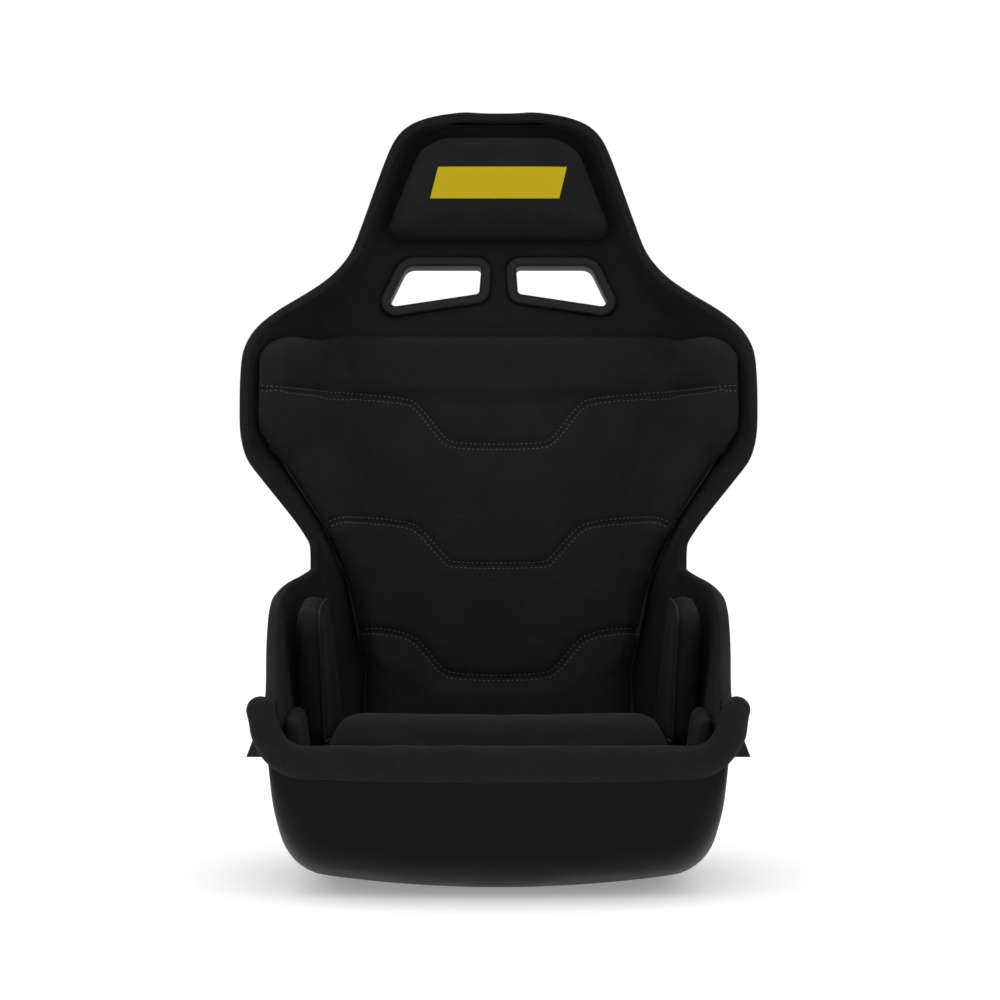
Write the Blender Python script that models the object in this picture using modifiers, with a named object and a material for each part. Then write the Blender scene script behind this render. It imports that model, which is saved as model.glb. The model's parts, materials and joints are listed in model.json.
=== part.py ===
"""Fixed-back bucket seat for motorsport: a lined glass-fibre shell, a padded front lip,
separate cushions, harness-slot bezels and side fixings. Metres, +Z up, the seat faces -Y,
and the middle plane is X = 0. Run it with: blender --background --python part.py
"""

import math

import bmesh
import bpy
import numpy as np
from mathutils import Matrix, Vector

# ---- walls and clearances -------------------------------------------------------------
GAP = 0.0003  # between faces that touch on the real seat
FOAM_GAP = 0.0048  # between a foam core and the cover or board over it
FOAM_SIDE_GAP = 0.0048  # and at its sides, where the curved shell draws the walls together
SHELL_WALL = 0.005  # glass-fibre laminate
LINER_WALL = 0.0025  # lining glued inside the shell
TAPE_WALL = 0.0012  # hook-and-loop tape
COVER_WALL = 0.0016  # fabric with its scrim
BOARD_WALL = 0.002  # backing board of a cushion
GLUE = 0.0009  # glue line under the lining
LINER_TOP = GLUE + LINER_WALL  # height of the lining's face over the shell's inner face
GLUED_BASE = LINER_TOP + 0.0042  # height where a glued cushion starts
HIP_BASE = LINER_TOP + 0.0036
TAPED_BASE = LINER_TOP + GAP + TAPE_WALL + GAP  # and where a taped one starts

MIDDLE_Y = 0.0157  # the seat is drawn this far back, then moved so its box is centred

# ---- shell stations -------------------------------------------------------------------
# Each row is one section through the shell's inner face, from the front edge, along the
# pan and up the back. A section runs level from the middle to a rounded corner and then
# straight out to the rim. The columns are the section's middle point (y, z), its rim
# point (y, z), half the width at the rim, half the width at the corner, and the
# corner's radius.
STATIONS = (
    # middle y, z      rim y, z          rim    corner radius
    (-0.2620, 0.1340, -0.2620, 0.1840, 0.2244, 0.2140, 0.036),  # front edge
    (-0.2620, 0.1000, -0.2550, 0.1825, 0.2244, 0.2130, 0.038),
    (-0.2500, 0.0550, -0.2430, 0.1828, 0.2242, 0.2110, 0.044),
    (-0.2220, 0.0220, -0.2180, 0.1930, 0.2212, 0.2075, 0.038),  # front foot
    (-0.1500, 0.0050, -0.1700, 0.2090, 0.2240, 0.2070, 0.037),
    (-0.0600, 0.0050, -0.0750, 0.2400, 0.2310, 0.2030, 0.048),  # pan
    (0.0400, 0.0050, -0.0100, 0.2680, 0.2338, 0.2020, 0.050),
    (0.1000, 0.0050, 0.0300, 0.2790, 0.2342, 0.1980, 0.052),  # hip wing
    (0.1380, 0.0240, 0.0600, 0.2870, 0.2310, 0.1940, 0.054),
    (0.1580, 0.0620, 0.0850, 0.2950, 0.2232, 0.1890, 0.056),
    (0.1720, 0.1000, 0.1000, 0.3030, 0.2080, 0.1800, 0.056),
    (0.1820, 0.1500, 0.1080, 0.3120, 0.1975, 0.1700, 0.056),  # waist
    (0.1900, 0.2050, 0.1120, 0.3240, 0.1980, 0.1600, 0.058),
    (0.1980, 0.2600, 0.1130, 0.3400, 0.1990, 0.1530, 0.060),
    (0.2070, 0.3050, 0.1140, 0.3600, 0.2100, 0.1530, 0.062),
    (0.2170, 0.3500, 0.1160, 0.3880, 0.2320, 0.1600, 0.066),
    (0.2280, 0.3900, 0.1180, 0.4160, 0.2548, 0.1720, 0.070),
    (0.2380, 0.4250, 0.1200, 0.4400, 0.2718, 0.1860, 0.074),  # shoulder wing
    (0.2490, 0.4600, 0.1240, 0.4700, 0.2772, 0.1970, 0.078),
    (0.2620, 0.5000, 0.1310, 0.5080, 0.2775, 0.2050, 0.080),
    (0.2750, 0.5400, 0.1420, 0.5450, 0.2760, 0.2100, 0.080),
    (0.2840, 0.5680, 0.1600, 0.5700, 0.2668, 0.2060, 0.072),
    (0.2900, 0.5900, 0.1860, 0.5910, 0.2462, 0.1960, 0.060),
    (0.2960, 0.6120, 0.2140, 0.6110, 0.2175, 0.1800, 0.048),  # neck
    (0.3010, 0.6320, 0.2380, 0.6300, 0.1925, 0.1650, 0.036),
    (0.3060, 0.6500, 0.2550, 0.6480, 0.1755, 0.1525, 0.030),
    (0.3110, 0.6720, 0.2680, 0.6690, 0.1616, 0.1430, 0.027),
    (0.3190, 0.7050, 0.2800, 0.7020, 0.1495, 0.1325, 0.025),  # head
    (0.3280, 0.7450, 0.2910, 0.7420, 0.1360, 0.1200, 0.023),
    (0.3350, 0.7780, 0.3000, 0.7760, 0.1243, 0.1090, 0.022),
    (0.3380, 0.7970, 0.3050, 0.7950, 0.1165, 0.1010, 0.020),
    (0.3380, 0.8080, 0.3070, 0.8070, 0.1083, 0.0930, 0.018),
    (0.3360, 0.8170, 0.3085, 0.8160, 0.0965, 0.0815, 0.016),
    (0.3310, 0.8250, 0.3090, 0.8240, 0.0720, 0.0580, 0.012),
    (0.3210, 0.8290, 0.3090, 0.8290, 0.0360, 0.0280, 0.007),  # top edge
)
FRONT_BOW = (0.030, 0.030, 0.027, 0.018, 0.005)  # how far each front section bows forward
FRONT_RISE = (0.0, 0.0, 0.006, 0.015, 0.020, 0.002)  # and how far its sides rise
FLAT_STEPS, CORNER_STEPS, WALL_STEPS = 1, 4, 2  # shell facets across half a section

# ---- front lip and edge trim ----------------------------------------------------------
LIP_RADIUS_MIDDLE = 0.0175
LIP_COVER_WALL = 0.0015
LIP_FOAM_GAP = 0.0032
LIP_ARC_STEPS = 8
TRIM_LEG = 0.0045  # how far the trim's legs reach onto the shell
TRIM_WALL = 0.002
TRIM_START = 2.65  # station where the trim begins, clear of the lip's end
TRIM_TO_LINER = 0.0026
TRIM_CLEARANCE = 0.0024  # between the trim's legs and the laminate
LIP_CLEARANCE = 0.0012  # between the lip's slot and the laminate
LIP_BOTTOM = 0.0025  # from the laminate's edge to the bottom of that slot
LIP_ROWS = 4  # shell rows that the lip reaches
LIP_COVER_SLACK = 0.0100  # the lip's cover stops this far from the laminate
LIP_TIP_SPARE = 0.0001  # cover left round the tips, past the slot
LIP_RADIUS_TIP = SHELL_WALL / 2 + LIP_COVER_SLACK + LIP_COVER_WALL + LIP_TIP_SPARE
LINER_FIRST = 3  # station where the lining starts

# ---- cushions: station range, thickness, edge radius ----------------------------------
BACK_BOTTOM, BACK_TOP = 9.9, 21.15
BACK_THICKNESS = 0.032
BACK_BORDER_SHOULDER = 0.007  # shell left bare between cushion and rim
BACK_BORDER_WAIST = 0.026
BACK_HALF_LOW = 0.160  # half width between the hip cushions
BACK_CORNER = 0.034
HEAD_THICKNESS = 0.038
HEAD_BOTTOM_Z, HEAD_TOP_Z = 0.682, 0.809
HEAD_HALF_BOTTOM, HEAD_HALF_TOP = 0.1345, 0.0860
HEAD_CORNER_BOTTOM, HEAD_CORNER_TOP = 0.022, 0.034
HIP_STATIONS = (6.15, 9.35)
HIP_THICKNESS = 0.026
HIP_TOP_BORDER = 0.0095
HIP_BOTTOM_Z = 0.139
THIGH_STATIONS = (3.35, 5.75)
THIGH_THICKNESS = 0.021
THIGH_TOP_Z, THIGH_BOTTOM_Z = 0.176, 0.075
SEAT_HALF = 0.1650
SEAT_FRONT_Y, SEAT_REAR_Y = -0.2410, 0.1120
SEAT_BASE = ((-0.2410, 0.0680), (-0.2150, 0.0440), (-0.1700, 0.0250), (-0.1300, 0.0185),
             (-0.0600, 0.0115), (0.0400, 0.0103), (0.1120, 0.0290))
SEAT_TOP = ((-0.2410, 0.1700), (-0.2100, 0.1770), (-0.1500, 0.1630), (-0.0600, 0.1280),
            (0.0300, 0.1000), (0.1120, 0.0880))
SEAT_CORNER = 0.012

# ---- openings -------------------------------------------------------------------------
# The harness slot's clear opening, right-hand side: distance from the middle plane and
# height, corner by corner, with each corner's radius.
HARNESS_CORNERS = ((0.0225, 0.6232), (0.1285, 0.6070), (0.1054, 0.6554), (0.0200, 0.6554))
HARNESS_RADII = (0.005, 0.006, 0.014, 0.005)
HARNESS_Z = 0.632
SLEEVE_WALL = 0.002
SLEEVE_CLEARANCE = 0.0005
BEZEL_WIDTH = 0.011
BEZEL_HEIGHT = 0.0065
BEZEL_LIFT = 0.0012  # between a bezel and the wall, filled by its sealing bead
BELT_SIZE = (0.062, 0.024)  # lap-belt slot, along the seat and upward
BELT_STATION, BELT_Z = 6.55, 0.110
BELT_BEZEL_WIDTH = 0.008
BELT_FACE_LIFT = 0.0022  # the wall is slightly curved under the belt slot's bezel
CROTCH_SIZE = (0.070, 0.026)  # crotch-strap slot, across the seat and along it
CROTCH_Y = -0.080
CROTCH_CUSHION_GROW = 0.009  # the cushion's slot is this much larger all round

# ---- side fixings ---------------------------------------------------------------------
BOND = 0.0009  # adhesive between the shell and what is bonded to its outside
BOSS_STATIONS = (4.60, 6.95)
BOSS_Z = (0.045, 0.083)
BOSS_FACE_X = 0.2190
INSERT_Y = (-0.075, 0.070)
INSERT_Z = 0.064
INSERT_BODY_RADIUS, INSERT_FLANGE_RADIUS, INSERT_BORE_RADIUS = 0.0065, 0.011, 0.004
INSERT_FLANGE, INSERT_LENGTH = 0.0015, 0.0080
FLANGE_STATIONS = (4.25, 5.8)
FLANGE_Z = (0.1285, 0.1900)
FLANGE_REACH = 0.030

# ---- badge ----------------------------------------------------------------------------
BADGE_Z = (0.7335, 0.7709)
BADGE_HALF, BADGE_SLANT, BADGE_WALL = 0.0742, 0.0045, 0.0010


# ---- scene ----------------------------------------------------------------------------
def clear_scene():
    for thing in list(bpy.data.objects):
        bpy.data.objects.remove(thing, do_unlink=True)


def new_collection(name):
    collection = bpy.data.collections.new(name)
    bpy.context.scene.collection.children.link(collection)
    return collection


clear_scene()
SEAT = new_collection("racing_seat")
CUTTERS = new_collection("cutters")


def material(name, colour, roughness, metallic=0.0):
    made = bpy.data.materials.new(name)
    made.use_nodes = True
    shader = made.node_tree.nodes["Principled BSDF"]
    shader.inputs["Base Color"].default_value = (*colour, 1.0)
    shader.inputs["Roughness"].default_value = roughness
    shader.inputs["Metallic"].default_value = metallic
    return made


GELCOAT = material("black_gelcoat", (0.006, 0.006, 0.006), 0.32)
KNIT = material("black_knit", (0.012, 0.012, 0.012), 0.9)
FOAM = material("charcoal_foam", (0.05, 0.05, 0.052), 0.95)
PLASTIC = material("black_plastic", (0.01, 0.01, 0.01), 0.45)
TAPE = material("black_tape", (0.015, 0.015, 0.015), 0.95)
BOARD = material("backing_board", (0.03, 0.028, 0.026), 0.8)
STEEL = material("zinc_steel", (0.55, 0.56, 0.58), 0.35, 1.0)
YELLOW = material("yellow_badge", (0.46, 0.37, 0.02), 0.6)


def add_object(name, mesh_data, finish, collection=SEAT):
    made = bpy.data.objects.new(name, mesh_data)
    made.location.y = -MIDDLE_Y
    collection.objects.link(made)
    if finish:
        mesh_data.materials.append(finish)
    return made


def object_from_bmesh(name, bm, finish, collection=SEAT):
    data = bpy.data.meshes.new(name)
    bm.to_mesh(data)
    bm.free()
    data.shade_smooth()
    data.set_sharp_from_angle(angle=math.radians(35))
    return add_object(name, data, finish, collection)


# ---- the shell's surface --------------------------------------------------------------
def smooth_columns(knots, rows):
    """A monotone cubic through each column of rows; the result takes any position."""
    knots, rows = np.asarray(knots, float), np.asarray(rows, float)
    step = np.diff(knots)[:, None]
    slope = np.diff(rows, axis=0) / step
    tangent = np.zeros_like(rows)
    tangent[0], tangent[-1] = slope[0], slope[-1]
    same_way = slope[:-1] * slope[1:] > 0
    weight_a, weight_b = 2 * step[1:] + step[:-1], step[1:] + 2 * step[:-1]
    safe_a = np.where(same_way, slope[:-1], 1.0)
    safe_b = np.where(same_way, slope[1:], 1.0)
    mean = (weight_a + weight_b) / (weight_a / safe_a + weight_b / safe_b)
    tangent[1:-1] = np.where(same_way, mean, 0.0)

    def at(position):
        position = min(max(position, knots[0]), knots[-1])
        k = min(int(np.searchsorted(knots, position, side="right")) - 1, len(knots) - 2)
        width = knots[k + 1] - knots[k]
        t = (position - knots[k]) / width
        a, b = rows[k], rows[k + 1]
        ta, tb = tangent[k] * width, tangent[k + 1] * width
        return (
            a * (2 * t**3 - 3 * t**2 + 1)
            + ta * (t**3 - 2 * t**2 + t)
            + b * (3 * t**2 - 2 * t**3)
            + tb * (t**3 - t**2)
        )

    return at


def padded_to_stations(values):
    return list(values) + [0.0] * (len(STATIONS) - len(values))


LAST = len(STATIONS) - 1
FRONTS = zip(padded_to_stations(FRONT_BOW), padded_to_stations(FRONT_RISE))
station_at = smooth_columns(
    range(len(STATIONS)), [row + front for row, front in zip(STATIONS, FRONTS)]
)


class Section:
    """One section through the shell's inner face, at a station number."""

    def __init__(self, station):
        y, z, rim_y, rim_z, self.rim, corner, radius, self.bow, self.rise = station_at(station)
        self.middle = Vector((0, y, z))
        forward = Vector((0, rim_y - y, rim_z - z))
        self.reach = forward.length
        self.forward = forward.normalized()
        run = self.rim - corner
        self.angle = math.atan2(self.reach, run)
        setback = radius * math.tan(self.angle / 2)
        self.flat = corner - setback
        self.arc = radius * self.angle
        self.wall = math.hypot(run, self.reach) - setback
        self.radius = radius
        self.length = self.flat + self.arc + self.wall

    def point(self, distance):
        """The point at this distance from the middle, measured along the section."""
        side = -1 if distance < 0 else 1
        a = abs(distance)
        if a <= self.flat:
            x, f = a, 0.0
        elif a <= self.flat + self.arc:
            turn = (a - self.flat) / self.radius
            x = self.flat + self.radius * math.sin(turn)
            f = self.radius * (1 - math.cos(turn))
        else:
            rest = a - self.flat - self.arc
            x = self.flat + self.radius * math.sin(self.angle) + rest * math.cos(self.angle)
            f = self.radius * (1 - math.cos(self.angle)) + rest * math.sin(self.angle)
        out = (x / self.rim) ** 2
        bowed = -self.bow * max(0.0, 1 - out)
        risen = self.rise * out * (1 - f / self.reach)
        return Vector((side * x, bowed, risen)) + self.middle + self.forward * f


def surface_point(station, distance, height=0.0):
    """A point over the shell's inner face; a negative height is inside the laminate."""
    section = Section(station)
    base = section.point(distance)
    if height == 0.0:
        return base
    return base + surface_normal(station, distance) * height


def surface_normal(station, distance):
    """The unit normal of the inner face, pointing at the driver."""
    ds, da = 0.02, 0.0005
    low, high = max(station - ds, 0.0), min(station + ds, float(LAST))
    along = Section(high).point(distance) - Section(low).point(distance)
    section = Section(station)
    across = section.point(distance + da) - section.point(distance - da)
    return across.cross(along).normalized()


def distance_at_height(station, z):
    """How far along the section its wall reaches the height z."""
    section = Section(station)
    places = np.linspace(section.flat, section.length, 60)
    heights = [section.point(a).z for a in places]
    return float(np.interp(z, heights, places))


def station_at_height(z):
    """The station whose middle is at the height z, on the back of the seat."""
    places = np.linspace(9.0, LAST, 500)
    return float(np.interp(z, [station_at(p)[1] for p in places], places))


# ---- mesh builders --------------------------------------------------------------------
def grid_faces(bm, grid, flip=False):
    """Triangles with the same diagonal in every grid, so that stacked layers stay apart."""
    for row, above in zip(grid, grid[1:]):
        for a, b, c, d in zip(row, row[1:], above[1:], above):
            for corners in ((a, b, c), (a, c, d)):
                bm.faces.new(corners[::-1] if flip else corners)


def ring_faces(bm, low, high, close=True):
    ends = list(zip(low, high))
    for (a, d), (b, c) in zip(ends, ends[1:] + ends[:1] if close else ends[1:]):
        bm.faces.new((a, b, c))
        bm.faces.new((a, c, d))


def border(grid):
    """The grid's outer vertices, in order round it."""
    right = [row[-1] for row in grid[1:]]
    top = list(reversed(grid[-1]))[1:]
    left = [row[0] for row in reversed(grid[:-1])][:-1]
    return list(grid[0]) + right + top + left


def grid_vertices(bm, points):
    return [[bm.verts.new(p) for p in row] for row in points]


def layered(name, layers, finish, closed=True):
    """A solid from grids of points, base first: walls join their borders. With closed
    off the base is left out, which leaves an open sheet for Solidify."""
    bm = bmesh.new()
    top = grid_vertices(bm, layers[-1])
    grid_faces(bm, top)
    rings = []
    for points in layers[1:-1]:
        count = border([[Vector(p) for p in row] for row in points])
        rings.append([bm.verts.new(p) for p in count])
    if closed:
        base = grid_vertices(bm, layers[0])
        grid_faces(bm, base, flip=True)
        rings.insert(0, border(base))
    else:
        rings.insert(0, [bm.verts.new(p) for p in border(layers[0])])
    rings.append(border(top))
    for low, high in zip(rings, rings[1:]):
        ring_faces(bm, low, high)
    bmesh.ops.recalc_face_normals(bm, faces=bm.faces)
    return object_from_bmesh(name, bm, finish)


def sweep(name, frames, profile_at, finish):
    """A solid swept along frames of (point, out, normal), with a profile for each."""
    bm = bmesh.new()
    rings = []
    for k, (point, out, normal) in enumerate(frames):
        outline = profile_at(k / (len(frames) - 1))
        rings.append([bm.verts.new(point + out * d + normal * n) for d, n in outline])
    for low, high in zip(rings, rings[1:]):
        ring_faces(bm, low, high)
    bm.faces.new(rings[0])
    bm.faces.new(rings[-1])
    bmesh.ops.recalc_face_normals(bm, faces=bm.faces)
    return object_from_bmesh(name, bm, finish)


def solidify(thing, thickness, offset):
    wall = thing.modifiers.new("wall", "SOLIDIFY")
    wall.thickness = thickness
    wall.offset = offset
    wall.use_even_offset = True


def mirror(thing):
    half = thing.modifiers.new("other_half", "MIRROR")
    half.use_mirror_merge = True
    half.merge_threshold = 0.0001
    half.use_clip = True


def cut(thing, cutter):
    hole = thing.modifiers.new(cutter.name, "BOOLEAN")
    hole.operation = "DIFFERENCE"
    hole.solver = "EXACT"
    hole.object = cutter


def hide(cutter):
    cutter.hide_render = True
    cutter.display_type = "WIRE"
    return cutter


# ---- outlines -------------------------------------------------------------------------
def grown_outline(corners, radii, grow, steps=2):
    """A polygon, counter-clockwise, with its edges moved out and its corners rounded."""
    count = len(corners)
    moved = []
    for k in range(count):
        before, here, after = (Vector(corners[(k + j) % count]) for j in (-1, 0, 1))
        into, out = (here - before).normalized(), (after - here).normalized()
        normal_in, normal_out = Vector((into.y, -into.x)), Vector((out.y, -out.x))
        lean = (normal_in + normal_out) / (1 + normal_in.dot(normal_out))
        moved.append(here + lean * grow)
    outline = []
    for k in range(count):
        before, here, after = moved[k - 1], moved[k], moved[(k + 1) % count]
        into, out = (here - before).normalized(), (after - here).normalized()
        turn = math.acos(max(-1.0, min(1.0, into.dot(out))))
        radius = radii[k] + grow
        setback = radius * math.tan(turn / 2)
        start = here - into * setback
        centre = start + Vector((-into.y, into.x)) * radius
        spoke = start - centre
        for j in range(steps + 1):
            angle = turn * j / steps
            outline.append(centre + Matrix.Rotation(angle, 2) @ spoke)
    return outline


def box_corners(width, height):
    half_w, half_h = width / 2, height / 2
    return ((-half_w, -half_h), (half_w, -half_h), (half_w, half_h), (-half_w, half_h))


class Place:
    """A flat place on the seat: an origin with two directions in it and a normal."""

    def __init__(self, origin, along, normal):
        self.origin = origin
        self.normal = normal.normalized()
        self.along = (along - self.normal * along.dot(self.normal)).normalized()
        self.up = self.normal.cross(self.along)

    def point(self, flat, height):
        return self.origin + self.along * flat[0] + self.up * flat[1] + self.normal * height


def slot_cutter(name, place, corners, radii, grow, low, high):
    bm = bmesh.new()
    outline = grown_outline(corners, radii, grow)
    rings = [[bm.verts.new(place.point(p, h)) for p in outline] for h in (low, high)]
    ring_faces(bm, *rings)
    bm.faces.new(list(reversed(rings[0])))
    bm.faces.new(rings[1])
    bmesh.ops.recalc_face_normals(bm, faces=bm.faces)
    return hide(object_from_bmesh(name, bm, None, CUTTERS))


def ring_solid(name, place, corners, radii, profile, finish):
    """A ring round a slot: each profile point is (distance out of the opening, height)."""
    bm = bmesh.new()
    rings = []
    for grow, height in profile:
        outline = grown_outline(corners, radii, grow)
        rings.append([bm.verts.new(place.point(p, height)) for p in outline])
    for low, high in zip(rings, rings[1:] + rings[:1]):
        ring_faces(bm, low, high)
    bmesh.ops.recalc_face_normals(bm, faces=bm.faces)
    return object_from_bmesh(name, bm, finish)


def bead(inner, width, height, base):
    """The rounded face of a bezel, from its inner edge to its outer edge."""
    return [
        (inner + width * 0.00, base + height * 0.45),
        (inner + width * 0.14, base + height * 0.85),
        (inner + width * 0.50, base + height * 1.00),
        (inner + width * 0.86, base + height * 0.75),
        (inner + width * 1.00, base + height * 0.25),
        (inner + width * 1.00, base),
    ]


# ---- shell and liner ------------------------------------------------------------------
def section_places(section, end_margin=0.0):
    """Distances along half a section: the flat, the corner and the wall."""
    corner_end = section.flat + section.arc
    flat = np.linspace(0, section.flat, FLAT_STEPS + 1)[:-1]
    arc = np.linspace(section.flat, corner_end, CORNER_STEPS + 1)[:-1]
    wall = np.linspace(corner_end, section.length - end_margin, WALL_STEPS + 1)
    return [float(a) for a in (*flat, *arc, *wall)]


def open_half(name, stations, margin_at, height, finish, collection=SEAT, lead=0.0):
    """The right half of a sheet over the shell's inner face, facing the driver. A lead
    adds a row that far ahead of the first one."""
    rows = []
    for station in stations:
        places = section_places(Section(station), margin_at(station))
        rows.append([surface_point(station, a, height) for a in places])
    if lead:
        rows.insert(0, [a + (a - b).normalized() * lead for a, b in zip(rows[0], rows[1])])
    for row in rows:
        row[0].x = 0.0
    bm = bmesh.new()
    grid_faces(bm, grid_vertices(bm, rows))
    return object_from_bmesh(name, bm, finish, collection)


def make_shell():
    shell = open_half("seat_shell", range(LAST + 1), lambda s: 0.0, 0.0, GELCOAT)
    mirror(shell)
    solidify(shell, SHELL_WALL, -1)
    return shell


def rim_margin(station):
    """Lining margin along the section, so that it stays clear of the trim's inner leg."""
    here = Section(station)
    step = 0.1
    before, after = max(station - step, 0.0), min(station + step, float(LAST))
    rim_run = Section(after).point(Section(after).length)
    rim_run = (rim_run - Section(before).point(Section(before).length)).normalized()
    across = (here.point(here.length) - here.point(here.length - 0.002)).normalized()
    sine = max(across.cross(rim_run).length, 0.35)
    return (TRIM_LEG + TRIM_TO_LINER) / sine


def make_liner():
    """The lining starts at the front foot, since the pan's front is bare laminate, and
    keeps to the shell's own rows, so that their facets lie parallel."""
    rows = range(LINER_FIRST, LAST)
    liner = open_half("shell_liner", rows, rim_margin, GLUE, KNIT)
    mirror(liner)
    solidify(liner, LINER_WALL, 1)
    return liner


# ---- front lip and trim ---------------------------------------------------------------
def frames_along(points, normals):
    frames = []
    for k, point in enumerate(points):
        run = points[min(k + 1, len(points) - 1)] - points[max(k - 1, 0)]
        normal = normals[k]
        normal = (normal - run * (normal.dot(run) / run.length_squared)).normalized()
        frames.append((point, run.cross(normal).normalized(), normal))
    return frames


def lip_frames():
    """Frames along the shell's front edge, from the left tip to the right tip."""
    section = Section(0)
    half = section_places(section)
    places = [-a for a in reversed(half[1:])] + half
    points = [surface_point(0, a, -SHELL_WALL / 2) for a in places]
    return frames_along(points, [surface_normal(0, a) for a in places])


def lip_radius(share):
    """Full in the middle of the lip and slimmer at its tips."""
    away = abs(2 * share - 1)
    return LIP_RADIUS_MIDDLE + (LIP_RADIUS_TIP - LIP_RADIUS_MIDDLE) * away**3


def open_arc(radius, slot):
    """A circle in (out, normal), open at the slot that takes the shell's edge."""
    start = math.asin(slot / radius)
    angles = np.linspace(start, 2 * math.pi - start, LIP_ARC_STEPS + 1)
    return [(-radius * math.cos(a), radius * math.sin(a)) for a in angles]


def lip_foam_profile(share):
    slot = SHELL_WALL / 2 + GAP * 2
    radius = lip_radius(share) - LIP_COVER_WALL - LIP_FOAM_GAP
    return open_arc(radius, slot) + [(LIP_BOTTOM, -slot), (LIP_BOTTOM, slot)]


def lip_cover_profile(share):
    slot = SHELL_WALL / 2 + LIP_COVER_SLACK
    outer = open_arc(lip_radius(share), slot)
    inner = open_arc(lip_radius(share) - LIP_COVER_WALL, slot)
    return outer + list(reversed(inner))


def make_lip():
    frames = lip_frames()
    foam = sweep("lip_foam", frames, lip_foam_profile, FOAM)
    sweep("lip_cover", frames, lip_cover_profile, KNIT)
    rows = range(LIP_ROWS)
    edge = open_half("lip_cut", rows, lambda s: 0.0, LIP_CLEARANCE, None, CUTTERS, LIP_BOTTOM)
    mirror(edge)
    solidify(edge, SHELL_WALL + LIP_CLEARANCE * 2, -1)
    hide(edge)
    cut(foam, edge)
    for side, (point, _, _) in (("left", frames[0]), ("right", frames[-1])):
        towards = point - (frames[1][0] if side == "left" else frames[-2][0])
        make_lip_end(side, point, towards.normalized())


def make_lip_end(side, point, towards):
    """A turned dome that closes the lip's tube."""
    base = GAP * 6
    radius = LIP_RADIUS_TIP
    profile = [(0.0, base)]
    for k in range(5):
        turn = math.radians(90 * k / 4)
        profile.append((radius * math.cos(turn), base + radius * math.sin(turn)))
    bm = bmesh.new()
    spine = [bm.verts.new((r, 0, h)) for r, h in profile]
    edges = [bm.edges.new(pair) for pair in zip(spine, spine[1:])]
    bmesh.ops.spin(
        bm, geom=spine + edges, cent=(0, 0, 0), axis=(0, 0, 1), angle=2 * math.pi,
        steps=12, use_merge=True,
    )
    bmesh.ops.remove_doubles(bm, verts=bm.verts, dist=0.00005)
    turn = Vector((0, 0, 1)).rotation_difference(towards).to_matrix().to_4x4()
    bmesh.ops.transform(bm, matrix=Matrix.Translation(point) @ turn, verts=bm.verts)
    bmesh.ops.recalc_face_normals(bm, faces=bm.faces)
    object_from_bmesh(f"lip_end_{side}", bm, KNIT)


def trim_frames():
    """Frames along the rim, from the lip's right tip over the head to its left tip."""
    stations = [TRIM_START, *range(math.ceil(TRIM_START), LAST + 1)]
    points, normals = [], []
    for station in stations:
        a = Section(station).length
        points.append(surface_point(station, a, -SHELL_WALL / 2))
        normals.append(surface_normal(station, a))
    top = [-0.5, 0.0, 0.5]
    length = Section(LAST).length
    middle = [surface_point(LAST, -k * length, -SHELL_WALL / 2) for k in top]
    middle_normals = [surface_normal(LAST, -k * length) for k in top]
    flip = Matrix.Diagonal((-1, 1, 1))
    points = points + middle + [flip @ p for p in reversed(points)]
    normals = normals + middle_normals + [flip @ n for n in reversed(normals)]
    return frames_along(points, normals)


def trim_profile(_):
    """A channel over the shell's edge: two legs and a rounded back."""
    inner = SHELL_WALL / 2 + TRIM_CLEARANCE
    outer = inner + TRIM_WALL
    back = TRIM_CLEARANCE + TRIM_WALL
    return [
        (-TRIM_LEG, inner), (TRIM_CLEARANCE, inner), (TRIM_CLEARANCE, -inner), (-TRIM_LEG, -inner),
        (-TRIM_LEG, -outer), (-0.001, -outer), (back, -outer * 0.45),
        (back, outer * 0.45), (-0.001, outer), (-TRIM_LEG, outer),
    ]


def make_trim():
    sweep("edge_trim", trim_frames(), trim_profile, KNIT)


# ---- cushions -------------------------------------------------------------------------
def rounded_steps(length, radius_low, radius_high, inner_count):
    """Positions from 0 to length, closer together where the corners are round."""
    low = [radius_low * (1 - math.cos(math.radians(t))) for t in (0, 35, 65)]
    high = [length - radius_high * (1 - math.cos(math.radians(t))) for t in (65, 35, 0)]
    middle = np.linspace(radius_low, length - radius_high, inner_count)
    return low + [float(m) for m in middle] + high


def corner_pull(position, length, radius_low, radius_high):
    """How far a rounded corner pulls the side in at this position."""
    for edge, radius in ((position, radius_low), (length - position, radius_high)):
        if edge < radius:
            rest = radius - edge
            return radius - math.sqrt(max(radius * radius - rest * rest, 0.0))
    return 0.0


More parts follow.
